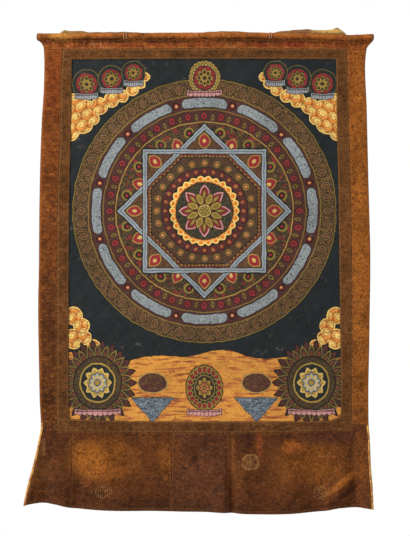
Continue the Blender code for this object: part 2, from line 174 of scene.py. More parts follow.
FOLDS_OPENING = 1.3
ROLLED_WAVE = 190
ROLLED_LEAN = 260
ROLLED_HEIGHT = 1.4
SIDE_CURL = 3.0
SIDE_CURL_WIDTH = 22
FLAT_TOP = 120
SKIRT_TOP = -792
SKIRT_LENGTH = 160

# Slight unevenness of old cloth, as crossing waves: height, turns per metre along x and along z, and start
COCKLES = [
    (0.30, 13.0, 5.0, 0.4), (0.24, -7.0, 17.0, 2.1), (0.18, 27.0, 11.0, 4.0), (0.14, -31.0, 23.0, 1.2),
    (0.10, 45.0, -38.0, 5.1)
]
PUCKER_HEIGHT = 0.32
PUCKER_LENGTH = 12.5
PUCKER_REACH = 7.0
# Lines where the rolled canvas has creased across: x of the line's middle, z, half length and height
ROLL_CREASES = [
    (-120, -128, 150, 0.7), (90, -214, 190, 0.8), (-40, -306, 230, 0.6), (130, -402, 150, 0.8),
    (-150, -470, 120, 0.7), (20, -566, 250, 0.9), (-90, -655, 170, 0.7), (160, -706, 110, 0.6)
]

# Upper edge of the folded veil behind the sleeve, with its two pointed corners
VEIL_TOP = [
    Level(-294, 5.0), Level(-287, 10.2), Level(-282, 13.2), Level(-276, 11.6), Level(-251, 11.2),
    Level(-231, 8.8), Level(-181, 9.0), Level(-161, 9.4), Level(-139, 8.2), Level(-111, 6.2),
    Level(-31, 6.0), Level(9, 9.6), Level(45, 10.8), Level(89, 8.8), Level(129, 7.4), Level(149, 10.2),
    Level(181, 13.4), Level(201, 14.6), Level(229, 12.6), Level(256, 14.8), Level(263, 17.8),
    Level(269, 14.6), Level(277, 9.4), Level(283, 3.4)
]
VEIL_TAIL = -76
VEIL_TURN = 1.4
VEIL_SEWN = 3.2
VEIL_STEP = 3.0

# Where the two legs of each thread tie lie along the sleeve
TIE_PAIRS = {"hanging_tie_left": (-163.4, -157.6), "hanging_tie_right": (127.8, 132.0)}
TIE_FRONT = math.radians(218)
TIE_BACK = math.radians(62)
TIE_CLEAR = 0.3
TIE_STEPS = 25
PLY_RADIUS = 0.42
PLY_PITCH = 3.4
PLY_STEP = 0.45

# Stitches
STITCH_LENGTH = 2.6
STITCH_PITCH = 4.0
STITCH_RADIUS = 0.28
STITCH_SIDES = 6
STITCH_ROWS = [(-0.5, -1.2, 0.55), (-0.32, 0.15, 1.0), (0.0, 0.4, 1.1), (0.32, 0.15, 1.0), (0.5, -1.2, 0.55)]


# Shape of the cloth

def smooth(rows, at):
    """Values of a two-column table at places, on a smooth curve that never swings past its rows."""
    places, values = (np.array(column, float) for column in zip(*sorted(rows)))
    rises = np.diff(values) / np.diff(places)
    same_way = rises[:-1] * rises[1:] > 0
    total = np.where(same_way, rises[:-1] + rises[1:], 1)
    inner = np.where(same_way, 2 * rises[:-1] * rises[1:] / total, 0)
    slopes = np.concatenate(([rises[0]], inner, [rises[-1]]))
    at = np.clip(at, places[0], places[-1])
    k = np.clip(np.searchsorted(places, at, side="right") - 1, 0, len(places) - 2)
    span = places[k + 1] - places[k]
    t = (at - places[k]) / span
    start = (1 + 2 * t) * (1 - t) ** 2 * values[k] + t * (1 - t) ** 2 * span * slopes[k]
    end = t * t * (3 - 2 * t) * values[k + 1] + t * t * (t - 1) * span * slopes[k + 1]
    return start + end


def ease(t):
    t = np.clip(t, 0, 1)
    return t * t * (3 - 2 * t)


def bell(distance, width):
    return np.exp(-(distance / width) ** 2 / 2)


def wrinkled(x, z, wrinkles):
    """How far the wrinkles bring the cloth forward at each place."""
    height = np.zeros(np.broadcast(x, z).shape)
    for wrinkle in wrinkles:
        dx, dz = wrinkle.x_end - wrinkle.x_start, wrinkle.z_end - wrinkle.z_start
        length = math.hypot(dx, dz)
        t = ((x - wrinkle.x_start) * dx + (z - wrinkle.z_start) * dz) / length ** 2
        side = ((x - wrinkle.x_start) * dz - (z - wrinkle.z_start) * dx) / length
        height = height + wrinkle.height * np.sin(math.pi * np.clip(t, 0, 1)) * bell(side, wrinkle.width)
    return height


def depth(x, z):
    """Depth of the hanging cloth as the part has it: positive is away from the viewer."""
    fall = ease(-z / FLAT_TOP)
    y = ROLLED_HEIGHT * fall * np.sin(2 * math.pi * z / ROLLED_WAVE + x / ROLLED_LEAN)
    y = y - SIDE_CURL * fall * bell(x - smooth(LEFT_EDGE, z), SIDE_CURL_WIDTH)
    y = y - SIDE_CURL * fall * bell(x - smooth(RIGHT_EDGE, z), SIDE_CURL_WIDTH)
    down = (FOLDS_START - z) / SKIRT_LENGTH
    folded = np.zeros(np.broadcast(x, z).shape)
    for fold in HEM_FOLDS:
        middle = fold.x_top + (fold.x_hem - fold.x_top) * down
        folded = folded + fold.height * ease(down) ** FOLDS_OPENING * bell(x - middle, fold.width)
    return y - np.where(down > 0, folded + wrinkled(x, z, WRINKLES), 0)


def pucker(run, distance):
    """Small waves along a seam, which die away to both sides of it."""
    wobble = 1.7 * np.sin(run / 41) + 0.9 * np.sin(run / 17 + 1)
    return PUCKER_HEIGHT * np.sin(2 * math.pi * run / PUCKER_LENGTH + wobble) * bell(distance, PUCKER_REACH)


def surface(x, z):
    """Depth of the brocade's middle surface, with its unevenness and the puckers along its seams."""
    y = depth(x, z)
    for height, per_x, per_z, start in COCKLES:
        y = y + height * ease(-z / FLAT_TOP) * np.sin(2 * math.pi * (per_x * x + per_z * z) * MM + start)
    for seam in (FRAME_LEFT, FRAME_RIGHT):
        y = y + pucker(z, x - smooth(seam, z))
    for seam in (FRAME_LOW, HEADING_SEAM, HEM):
        y = y + pucker(x, z - smooth(seam, x))
    in_skirt = ease((SKIRT_TOP - z) / 12)
    for seam in (DOOR_LEFT, DOOR_RIGHT, SKIRT_SEAM_TOP):
        y = y + in_skirt * pucker(z, x - seam)
    return y - wrinkled(x, z, CREASES)


def canvas_surface(x, z):
    """Depth of the canvas, which is creased across where it was rolled."""
    y = depth(x, z)
    for height, per_x, per_z, start in COCKLES:
        y = y + 1.3 * height * np.sin(2 * math.pi * (per_x * x + per_z * z) * 0.8 * MM + start + 1)
    for middle, level, half, height in ROLL_CREASES:
        line = level + 2.2 * np.sin(x / 46 + level)
        y = y - height * bell(z - line, 2.6) * ease(1.5 - np.abs(x - middle) / half)
    return y


# Sheets of cloth

def unit(vectors):
    """Vectors of length 1."""
    return vectors / np.linalg.norm(vectors, axis=-1, keepdims=True)


def spread(length, step):
    """Places from 0 to length a step apart, closer together near both ends, as shares of the length."""
    inner = EDGE_STEPS[-1]
    count = max(2, round((length - 2 * inner) / step))
    middle = np.linspace(inner, length - inner, count + 1)
    ends = np.array(EDGE_STEPS[:-1])
    return np.concatenate((ends, middle, length - ends[::-1])) / length


def line(table, by=0.0):
    """A table's smooth line, moved aside or up by a distance."""
    return lambda at: smooth(table, at) + by


def level(value):
    """A line that is the same all the way."""
    return lambda at: value + 0 * at


def patch(left, right, low, high, across, up):
    """A grid of (x, z) places between four lines, at the given shares of its width and height."""
    u, v = np.meshgrid(across, up)
    x = np.zeros(u.shape)
    z = np.full(u.shape, (float(low(0.0)) + float(high(0.0))) / 2)
    for _ in range(12):
        x = left(z) + (right(z) - left(z)) * u
        z = low(x) + (high(x) - low(x)) * v
    return x, z


def grid_faces(rows, columns, first=0):
    """Quads of a grid of points, row by row, that face the viewer."""
    k = first + np.arange((rows - 1) * columns).reshape(rows - 1, columns)[:, :-1].ravel()
    return np.stack((k, k + 1, k + columns + 1, k + columns), axis=1)


def add_object(name, data):
    item = bpy.data.objects.new(name, data)
    bpy.context.scene.collection.objects.link(item)
    return item


def make_object(name, points, faces, finish):
    """An object from points in millimetres, shaded smooth; it rides on the hanging's body."""
    mesh = bpy.data.meshes.new(name)
    mesh.from_pydata((np.asarray(points) * MM).tolist(), [], [list(map(int, face)) for face in faces])
    mesh.shade_smooth()
    mesh.set_sharp_from_angle(angle=SHARP_ANGLE)
    mesh.materials.append(finish)
    item = add_object(name, mesh)
    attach(item, "root")
    return item


def store(item, name, values):
    """Keeps a number for each point of a mesh, for its material to read."""
    numbers = item.data.attributes.new(name, "FLOAT", "POINT").data
    numbers.foreach_set("value", np.asarray(values, np.float32))


def rim_of(faces):
    """Pairs of points along the edge of a sheet."""
    pairs = np.concatenate([faces[:, [k, (k + 1) % 4]] for k in range(4)])
    _, where, uses = np.unique(np.sort(pairs, axis=1), axis=0, return_index=True, return_counts=True)
    return pairs[where[uses == 1]]


def thickened(points, normals, faces, thickness):
    """Both sides of a sheet and the walls at its edge, as points and faces."""
    count = len(points)
    half = normals * (np.broadcast_to(thickness, count) / 2)[:, None]
    rim = rim_of(faces)
    walls = np.stack((rim[:, 1], rim[:, 0], rim[:, 0] + count, rim[:, 1] + count), axis=1)
    both = np.concatenate((points + half, points - half))
    return both, np.concatenate((faces, faces[:, ::-1] + count, walls))


def edge_distance(points, faces):
    """Distance from each point to the nearest point of the sheet's edge."""
    places = np.unique(rim_of(faces)).tolist()
    tree = kdtree.KDTree(len(places))
    for place in places:
        tree.insert(points[place], place)
    tree.balance()
    return np.array([tree.find(point)[2] for point in points])


def sheet(node, finish, slot, patches, flat, thickness=BROCADE, behind=0.0, shape=surface):
    """A cloth in place of a node, with both sides, and edges that thin out and sink."""
    places, faces = [], []
    first = 0
    for x, z in patches:
        places.append(np.stack((x.ravel(), z.ravel()), axis=1))
        faces.append(grid_faces(*x.shape, first))
        first += x.size
    places = np.concatenate(places)
    _, keep, merged = np.unique(np.round(places / MERGE), axis=0, return_index=True, return_inverse=True)
    faces = merged.ravel()[np.concatenate(faces)]
    x, z = places[keep].T
    points = np.stack((x, shape(x, z) + behind, z), axis=1)
    inward = edge_distance(points, faces)
    points[:, 1] += EDGE_SINK * bell(inward, 1.0)
    thinner = thickness * (1 - EDGE_THINNING * bell(inward, 0.8))
    toward = np.tile(TOWARD_VIEWER, (len(points), 1))
    item = make_object(node + "_cloth", *thickened(points, toward, faces, thinner), finish)
    store(item, "edge", np.tile(inward, 2))
    side = np.minimum(x - smooth(LEFT_EDGE, z), smooth(RIGHT_EDGE, z) - x)
    store(item, "side", np.tile(side, 2))
    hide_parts(node)
    return item


def shell(node, points, thickness, finish):
    """A cloth for a node, from a grid of points along the rod and round its section."""
    normals = unit(np.cross(np.gradient(points, axis=0), np.gradient(points, axis=1))).reshape(-1, 3)
    faces = grid_faces(*points.shape[:2])[:, ::-1]
    points = points.reshape(-1, 3)
    item = make_object(node + "_cloth", *thickened(points, normals, faces, thickness), finish)
    return item, points, faces


def loft_faces(rings, sides, first=0, turned=False):
    """Faces of a row of closed rings of points, with a cap at each end."""
    faces = []
    for k in range(rings - 1):
        low, high = first + k * sides, first + (k + 1) * sides
        for j in range(sides):
            after = (j + 1) % sides
            faces.append((low + j, low + after, high + after, high + j))
    faces.append(tuple(range(first + sides - 1, first - 1, -1)))
    faces.append(tuple(range(first + (rings - 1) * sides, first + rings * sides)))
    return [face[::-1] for face in faces] if turned else faces


# Materials

def srgb(red, green, blue):
    """A colour from 0 to 255 as a linear one."""
    parts = (value / 255 for value in (red, green, blue))
    return tuple(part / 12.92 if part <= 0.04045 else ((part + 0.055) / 1.055) ** 2.4 for part in parts)


class Number:
    """A number that varies over a surface. Sums and products with it add Math nodes to its material."""

    def __init__(self, shade, socket):
        self.shade = shade
        self.socket = socket

    def __add__(self, other):
        return self.shade.math("ADD", self, other)

    def __radd__(self, other):
        return self.shade.math("ADD", other, self)

    def __sub__(self, other):
        return self.shade.math("SUBTRACT", self, other)

    def __rsub__(self, other):
        return self.shade.math("SUBTRACT", other, self)

    def __mul__(self, other):
        return self.shade.math("MULTIPLY", self, other)

    def __rmul__(self, other):
        return self.shade.math("MULTIPLY", other, self)

    def __truediv__(self, other):
        return self.shade.math("DIVIDE", self, other)

    def __abs__(self):
        return self.shade.math("ABSOLUTE", self)

    def fraction(self):
        return self.shade.math("FRACT", self)

    def zigzag(self):
        """Down from 0.5 to 0 and up again, once from each whole number to the next."""
        return abs(self.fraction() - 0.5)

    def sine(self):
        return self.shade.math("SINE", self)


class Nodes:
    """A node tree under construction. Places are in millimetres, and each call adds one node or a few."""

    def __init__(self, tree):
        self.tree = tree
        self.nodes = tree.nodes
        self.links = tree.links
        self.metres = self.node("ShaderNodeTexCoord").outputs["Object"]

    def node(self, kind, **settings):
        made = self.nodes.new(kind)
        for name, value in settings.items():
            setattr(made, name, value)
        return made

    def feed(self, socket, value):
        """Links a number or colour to a socket, or sets the socket's own value."""
        if isinstance(value, Number):
            self.links.new(value.socket, socket)
        elif isinstance(value, bpy.types.NodeSocket):
            self.links.new(value, socket)
        elif isinstance(value, tuple):
            socket.default_value = (*value, 1)
        else:
            socket.default_value = value

    def math(self, operation, *values):
        made = self.node("ShaderNodeMath", operation=operation)
        for socket, value in zip(made.inputs, values):
            self.feed(socket, value)
        return Number(self, made.outputs[0])

    def least(self, *values):
        found = values[0]
        for value in values[1:]:
            found = self.math("MINIMUM", found, value)
        return found

    def most(self, *values):
        found = values[0]
        for value in values[1:]:
            found = self.math("MAXIMUM", found, value)
        return found

    def length(self, x, z):
        return self.math("SQRT", x * x + z * z)

    def mix(self, share, first, second, blend="MIX"):
        """A colour between two, at a share from 0 to 1."""
        made = self.node("ShaderNodeMix", data_type="RGBA", blend_type=blend)
        self.feed(made.inputs["Factor"], share)
        self.feed(made.inputs[6], first)
        self.feed(made.inputs[7], second)
        return made.outputs[2]

    def lit(self, colour, light):
        """A colour made lighter or darker by a number around 1."""
        return self.mix(1.0, colour, self.vector(light, light, light), blend="MULTIPLY")

    def vector(self, x, y, z):
        made = self.node("ShaderNodeCombineXYZ")
        for socket, value in zip(made.inputs, (x, y, z)):
            self.feed(socket, value)
        return made.outputs[0]

    def noise(self, size, detail=3.0, roughness=0.55, stretch=(1, 1, 1), turn=0.0, distort=0.0):
        """Soft noise from about 0.3 to 0.7, whose blots are about a size across in millimetres."""
        made = self.node("ShaderNodeTexNoise")
        moved = self.node("ShaderNodeMapping")
        self.links.new(self.metres, moved.inputs["Vector"])
        moved.inputs["Location"].default_value = (turn * 13.7, turn * 5.1, turn * 29.3)
        moved.inputs["Scale"].default_value = [1 / (size * part * MM) for part in stretch]
        self.links.new(moved.outputs[0], made.inputs["Vector"])
        made.inputs["Scale"].default_value = 1
        made.inputs["Detail"].default_value = detail
        made.inputs["Roughness"].default_value = roughness
        made.inputs["Distortion"].default_value = distort
        return Number(self, made.outputs[0])

    def attribute(self, name):
        return Number(self, self.node("ShaderNodeAttribute", attribute_name=name).outputs["Fac"])

    def rise(self, value, low, high):
        """From 0 where a value is at low to 1 where it is at high, and softly between them."""
        made = self.node("ShaderNodeMapRange", interpolation_type="SMOOTHSTEP", clamp=False)
        for socket, part in zip(made.inputs, (value, low, high, 0.0, 1.0)):
            self.feed(socket, part)
        return Number(self, made.outputs[0])

    def ramp(self, value, stops):
        """A colour from a row of (place, colour) stops, for a value from 0 to 1."""
        made = self.node("ShaderNodeValToRGB")
        self.feed(made.inputs[0], value)
        while len(made.color_ramp.elements) < len(stops):
            made.color_ramp.elements.new(0.5)
        for element, (place, colour) in zip(made.color_ramp.elements, stops):
            element.position = place
            element.color = (*colour, 1)
        return made.outputs[0]

    def spot(self, x, z, wide, high, ragged, lean=0.0):
        """A soft patch: 1 at its middle and 0 outside, whose outline the ragged number makes uneven."""
        up = self.z - z
        across = (self.x - x - up * lean) / wide
        up = up / high
        away = across * across + up * up
        return self.rise(away + (ragged - 0.5) * 3.2, 1.4, -0.35)


class Shade(Nodes):
    """A material under construction."""

    def __init__(self, name, roughness, sheen=0.0, sheen_tint=(1, 1, 1), specular=0.25):
        self.material = bpy.data.materials.new(name)
        self.material.use_nodes = True
        super().__init__(self.material.node_tree)
        self.shader = self.nodes["Principled BSDF"]
        self.shader.inputs["Roughness"].default_value = roughness
        self.shader.inputs["Specular IOR Level"].default_value = specular
        self.shader.inputs["Sheen Weight"].default_value = sheen
        self.shader.inputs["Sheen Roughness"].default_value = 0.5
        self.shader.inputs["Sheen Tint"].default_value = (*sheen_tint, 1)
        scaled = self.node("ShaderNodeVectorMath", operation="SCALE")
        self.links.new(self.metres, scaled.inputs[0])
        scaled.inputs["Scale"].default_value = 1 / MM
        parts = self.node("ShaderNodeSeparateXYZ")
        self.links.new(scaled.outputs[0], parts.inputs[0])
        self.x, self.y, self.z = (Number(self, parts.outputs[k]) for k in range(3))

    def layer(self, draw, colour, x, z):
        """The colour after one part of a painted design has been drawn over it."""
        made = Layer(draw.__name__)
        draw(made)
        made.links.new(made.colour, made.node("NodeGroupOutput").inputs["Colour"])
        group = self.node("ShaderNodeGroup", node_tree=made.tree)
        for name, value in (("Colour", colour), ("X", x), ("Z", z)):
            self.feed(group.inputs[name], value)
        return group.outputs["Colour"]

    def finish(self, colour, height=None, bump=1.0):
        self.feed(self.shader.inputs["Base Color"], colour)
        if height is not None:
            made = self.node("ShaderNodeBump")
            made.inputs["Strength"].default_value = bump
            made.inputs["Distance"].default_value = MM
            self.links.new(height.socket, made.inputs["Height"])
            self.links.new(made.outputs[0], self.shader.inputs["Normal"])
        return self.material


def weave(shade, warp, weft, height=0.08):
    """Height of a plain weave whose threads lie a distance apart, in millimetres."""
    return height * (shade.x * (2 * math.pi / warp)).sine() * (shade.z * (2 * math.pi / weft)).sine()


Patch = namedtuple("Patch", "x z wide high colour strength lean", defaults=(0.0,))


def brocade(name, stops, top, bottom, flecks, rim, spots, patches=(), gilt=None, figure=0.3, woven=None):
    """Worn brocade: colours from its top to its bottom, flecks, blots, weft grain and patches, of which some
    are painted light and shade.

    The rim is rubbed pale beside a dark seam line, and spots are dark. The figure is a faint woven
    tracery. Gilt is a brighter strip along the hanging's outer side. Flecks, rim, spots and gilt are
    each a colour and its strength.
    """
    shade = Shade(name, 0.88, sheen=0.12, sheen_tint=srgb(220, 130, 60), specular=0.12)
    colour = shade.ramp(shade.rise(shade.z, bottom, top), stops)
    broad = shade.noise(62, detail=5, roughness=0.6, turn=1)
    blots = shade.noise(14, detail=6, roughness=0.7, turn=2)
    streaks = shade.noise(5.0, detail=4, roughness=0.6, stretch=(1.2, 1, 0.35), turn=5)
    slub = shade.noise(3.4, detail=4, roughness=0.75, stretch=(0.6, 1, 1.7), turn=3)
    threads = shade.noise(2.8, detail=3, roughness=0.75, stretch=(1.7, 1, 0.5), turn=4)
    fine = shade.rise(slub + threads, 0.82, 1.18)
    ragged = threads * 0.2 + streaks * 0.4 - 0.1
    rubbed = shade.rise(shade.noise(8, detail=4, roughness=0.65, stretch=(1.3, 1, 0.55), turn=15), 0.46,
                        0.62)
    colour = shade.mix(rubbed * flecks[1], colour, flecks[0])
    for patch_here in patches:
        mask = shade.spot(patch_here.x, patch_here.z, patch_here.wide, patch_here.high, blots * 0.6 + ragged,
                          patch_here.lean)
        colour = shade.mix(mask * (fine * 0.9 + 0.3) * patch_here.strength, colour, patch_here.colour)
    if gilt is not None:
        near = shade.rise(shade.attribute("side") + (streaks - 0.5) * 7, 9.5, 1.0)
        colour = shade.mix(near * gilt[1], colour, gilt[0])
    tracery = shade.noise(13, detail=2, roughness=0.5, turn=6, distort=1.4)
    curls = shade.rise((tracery * 7).zigzag(), 0.17, 0.03)
    light = (1 + (broad - 0.5) * 2.2 + (blots - 0.5) * 1.9 + (streaks - 0.5) * 1.2 + (slub - 0.5) * 1.3
             + (threads - 0.5) * 1.3 + curls * (fine * figure))
    colour = shade.lit(colour, light)
    if woven is not None:
        colour = woven(shade, colour, fine)
    dark = shade.noise(6, detail=4, roughness=0.7, turn=7)
    colour = shade.mix(shade.rise(dark + (broad - 0.5) * 0.4, 0.55, 0.68) * spots[1], colour, spots[0])
    edge = shade.attribute("edge")
    near = shade.rise(edge + (blots - 0.5) * 5, 3.6, 1.6)
    colour = shade.mix(near * (fine * 0.6 + 0.4) * rim[1], colour, rim[0])
    colour = shade.mix(shade.rise(edge, 1.7, 0.5) * (1.3 - fine) * 0.7, colour, srgb(40, 20, 12))
    height = weave(shade, 1.6, 1.2) + 0.45 * slub + 0.4 * threads + 0.7 * blots + 0.12 * curls
    return shade.finish(colour, height, bump=0.7)


# Painted design, a mandala of the maker's own: places in millimetres on the canvas
ART_X = -2.0
ART_Z = -350.0
SOFT_EDGE = 0.9
HAND_WOBBLE = 5.0
INK = srgb(26, 22, 18)
SLATE = srgb(27, 33, 35)
GREEN_BLACK = srgb(34, 40, 36)
OLIVE_GOLD = srgb(134, 112, 46)
GOLD = srgb(168, 134, 62)
PALE_GOLD = srgb(206, 172, 96)
RUST = srgb(108, 62, 38)
BROWN = srgb(88, 62, 40)
DARK_BROWN = srgb(58, 42, 32)
MAROON = srgb(82, 44, 36)
CRIMSON = srgb(146, 42, 44)
DEEP_RED = srgb(98, 36, 34)
SILVER = srgb(150, 156, 158)
BLUE_GREY = srgb(92, 104, 114)
CREAM = srgb(246, 204, 112)
CLOUD_ORANGE = srgb(222, 128, 44)
OCHRE = srgb(218, 150, 62)
CLOUD_LINE = srgb(92, 48, 20)
PINK = srgb(200, 142, 138)


class Layer(Nodes):
    """One part of the painted design, as a node group: coats of colour, each where a mask lets it show."""

    def __init__(self, name):
        super().__init__(bpy.data.node_groups.new(name, "ShaderNodeTree"))
        for label, way, kind in (("Colour", "INPUT", "NodeSocketColor"), ("X", "INPUT", "NodeSocketFloat"),
                                 ("Z", "INPUT", "NodeSocketFloat"), ("Colour", "OUTPUT", "NodeSocketColor")):
            self.tree.interface.new_socket(label, in_out=way, socket_type=kind)
        entry = self.node("NodeGroupInput")
        self.colour = entry.outputs["Colour"]
        self.x = Number(self, entry.outputs["X"])
        self.z = Number(self, entry.outputs["Z"])
        self.mirror = abs(self.x - ART_X)
        self.centre = self.around(self.x - ART_X, self.z - ART_Z)

    def coat(self, colour, *masks):
        """A colour where all of its masks let it show."""
        self.colour = self.mix(self.least(*masks), self.colour, colour)

    def inside(self, distance):
        """A mask from a distance in millimetres that is positive inside a shape."""
        return self.math("MULTIPLY_ADD", distance, 1 / SOFT_EDGE, 0.5)

    def around(self, x, z, flat=1.0):
        """Distance from a point and turn round it, from offsets to it; flat above 1 makes ovals."""
        high = z * flat
        reach = self.length(x, high)
        turn = self.math("ARCTAN2", high, x) * (0.5 / math.pi)
        return reach, turn

    def across(self, centre, count, shift=0.0):
        """Distance to the middle line of the nearest of equal sectors round a centre."""
        reach, turn = centre
        part = self.math("MULTIPLY_ADD", turn, count, shift + 0.5 + count).fraction() - 0.5
        return abs(part * (2 * math.pi / count) * reach)

    def ring(self, radius, half, colour, centre=None):
        reach = (centre or self.centre)[0]
        self.coat(colour, self.inside(half - abs(reach - radius)))

    def disc(self, radius, colour, centre=None):
        self.coat(colour, self.inside(radius - (centre or self.centre)[0]))

    def petals(self, count, radius, half_length, half_width, colours, centre=None, shift=0.0,
               shares=(1, 0.8, 0.45)):
        """A ring of pointed petals, each painted in coats that grow smaller."""
        centre = centre or self.centre
        side = self.across(centre, count, shift)
        out = centre[0] - radius
        out_squared = out * out
        for share, colour in zip(shares, colours):
            narrow = self.math("MULTIPLY_ADD", out_squared, -half_width * share / (half_length * share) ** 2,
                               half_width * share)
            self.coat(colour, self.inside(narrow - side))

    def beads(self, count, radius, size, colours, centre=None, shift=0.0):
        centre = centre or self.centre
        side = self.across(centre, count, shift)
        out = centre[0] - radius
        reach = self.length(side, out)
        for share, colour in zip((1, 0.62, 0.3), colours):
            self.coat(colour, self.inside(size * share - reach))

    def lines(self, size, turn, width=0.12, count=7, distort=1.2):
        """Fine curling brush lines, as a mask."""
        field = self.noise(size, detail=1.5, roughness=0.5, turn=turn, distort=distort)
        return self.rise((field * count).zigzag(), width, width * 0.3)

    def bars(self, count, radius, half_height, half_width, shift=0.0):
        """A ring of curved bars with round ends, full of curling lines."""
        side = self.across(self.centre, count, shift)
        out = self.centre[0] - radius
        past = self.most(side - (half_width - half_height), 0.0)
        reach = self.length(past, out)
        self.coat(INK, self.inside(half_height - reach))
        self.coat(SILVER, self.inside(half_height - 1.6 - reach))
        curls = self.lines(8, 91, width=0.2, count=5, distort=1.8)
        self.coat(INK, self.inside(half_height - 2.4 - reach), curls * 0.85)

    def flower(self, centre, size, colours, count=8):
        """A lotus rosette seen from above, on a round halo."""
        halo, outline, petal, heart = colours
        self.disc(size * 1.22, INK, centre)
        self.disc(size * 1.18, outline, centre)
        self.disc(size * 1.08, halo, centre)
        self.petals(count, size * 0.56, size * 0.46, size * 0.32, (INK, petal, outline), centre)
        self.petals(count, size * 0.36, size * 0.3, size * 0.2, (INK, heart, petal), centre, shift=0.5)
        self.disc(size * 0.2, INK, centre)
        self.disc(size * 0.15, outline, centre)

    def lotus_base(self, x, z, wide, colour=PINK):
        """A low row of petals under a rosette: a band whose lower edge is scalloped."""
        along = self.mirror - x
        up = self.z - z
        pitch = wide / 4.5
        off = (along * (1 / pitch)).zigzag()
        bend = along * along * (2.5 / wide ** 2)
        droop = off * off * (pitch * 1.3)
        band = self.least(wide - abs(along), up + 6.5 - droop - bend, 4.5 - up + bend)
        self.coat(INK, self.inside(band + 1.3))
        self.coat(colour, self.inside(band))
        self.coat(DEEP_RED, self.inside(band), self.inside(0.5 - (0.5 - off) * pitch), 0.8)
        self.coat(DARK_BROWN, self.inside(band - 1.5), self.inside(up - 1.2), 0.8)

    def cloud(self, lobes):
        """Banked cloud: a scalloped outline, and curls inside it."""
        rims = []
        for x, z, radius in lobes:
            along = self.mirror - x
            up = self.z - z
            rims.append(radius - self.length(along, up))
        inner = self.most(*rims)
        whole = self.inside(inner)
        self.coat(INK, self.inside(inner + 1.4))
        self.coat(CREAM, whole)
        row = (self.z + self.mirror * 0.3) * (1 / 19)
        along = ((self.mirror * (1 / 22) + self.math("FLOOR", row) * 0.45).fraction() - 0.5) * 22
        up = (row.fraction() - 0.5) * 19
        reach, turn = self.around(along, up)
        self.coat(CLOUD_ORANGE, whole, self.rise(reach - up * 0.5, 2.0, 12.0) * 0.95)
        curl = (turn + reach * (1 / 6.4)).zigzag()
        self.coat(CLOUD_LINE, whole, self.rise(curl, 0.12, 0.03), self.rise(reach, 11.5, 8.0) * 0.85)
        self.coat(CLOUD_LINE, whole, self.rise(abs(reach - 11.5), 1.4, 0.3) * 0.8)
        self.coat(CREAM, whole, self.inside(2.4 - inner), 0.8)
        self.coat(CLOUD_LINE, whole, self.inside(0.5 - abs(inner - 3.0)), 0.7)


def paint_ground(art):
    """Orange earth along the foot, its streaks, and pools that narrow downwards."""
    wave = (art.x * 0.045).sine() * 5 + (art.x * 0.019 + 1.2).sine() * 7
    ground = art.inside(-640 + wave - art.z)
    streak = art.noise(9, detail=4, stretch=(3.4, 1, 0.5), turn=11)
    art.coat(INK, art.inside(-638 + wave - art.z))
    art.coat(OCHRE, ground)
    art.coat(srgb(186, 96, 52), ground, art.rise(streak, 0.47, 0.6) * 0.8)
    art.coat(srgb(104, 58, 34), ground, art.rise(streak, 0.58, 0.68) * 0.8)
    art.coat(RUST, ground, art.lines(12, 12, width=0.1) * 0.7)
    across = abs(art.mirror - 104)
    ripples = art.noise(7, detail=2, stretch=(2.0, 1, 0.7), turn=15, distort=0.8)
    pool = art.least(31 - across + (art.z + 738) * 0.9 + (ripples - 0.5) * 11, -724 - art.z)
    art.coat(INK, art.inside(pool + 1.2))
    art.coat(BLUE_GREY, art.inside(pool))
    art.coat(SILVER, art.inside(pool), art.rise((ripples * 5).zigzag(), 0.16, 0.05) * 0.7)
    art.coat(INK, art.inside(pool), art.rise((ripples * 5 + 0.5).zigzag(), 0.2, 0.05) * 0.8)
    hollow = art.around(art.mirror - 104, art.z + 694, flat=1.5)
    art.disc(31, INK, hollow)
    art.disc(29, MAROON, hollow)
    art.coat(OLIVE_GOLD, art.inside(26 - hollow[0]), art.lines(11, 13, width=0.16, count=5) * 0.5)
    art.ring(29.5, 0.8, PALE_GOLD, hollow)


def paint_clouds(art):
    """Banked clouds in the corners of the sky."""
    art.cloud([(262, -140, 25), (236, -150, 22), (210, -140, 17), (186, -128, 15), (164, -120, 13),
               (144, -108, 12),
               (128, -96, 10), (118, -82, 9), (244, -176, 20), (268, -192, 18), (224, -164, 14),
               (270, -166, 20)])
    art.cloud([(262, -560, 18), (246, -580, 16), (262, -606, 20), (240, -604, 14), (222, -620, 13),
               (200, -634, 12)])


def paint_corners(art):
    """The large rosettes of the lower corners and the middle of the foot."""
    flames = art.around(art.mirror - 214, art.z + 694, flat=0.9)
    art.petals(22, 58, 22, 8.5, (INK, MAROON, DARK_BROWN), flames)
    art.petals(22, 52, 18, 6.5, (OLIVE_GOLD, DARK_BROWN, RUST), flames, shift=0.5)
    art.disc(49, INK, flames)
    art.disc(47, DARK_BROWN, flames)
    art.coat(OLIVE_GOLD, art.inside(46 - flames[0]), art.lines(9, 14, width=0.16) * 0.55)
    art.flower(flames, 31, (GREEN_BLACK, GOLD, PALE_GOLD, SILVER), count=10)
    art.lotus_base(214, -753, 46)
    oval = art.around(art.x - ART_X, art.z + 704, flat=0.82)
    art.disc(38, INK, oval)
    art.disc(36, OLIVE_GOLD, oval)
    art.disc(32.5, GREEN_BLACK, oval)
    art.petals(20, 30, 7, 4.6, (GOLD, DEEP_RED, CRIMSON), oval)
    art.flower(oval, 18, (DARK_BROWN, OLIVE_GOLD, GOLD, CRIMSON), count=8)
    art.lotus_base(0, -754, 34)


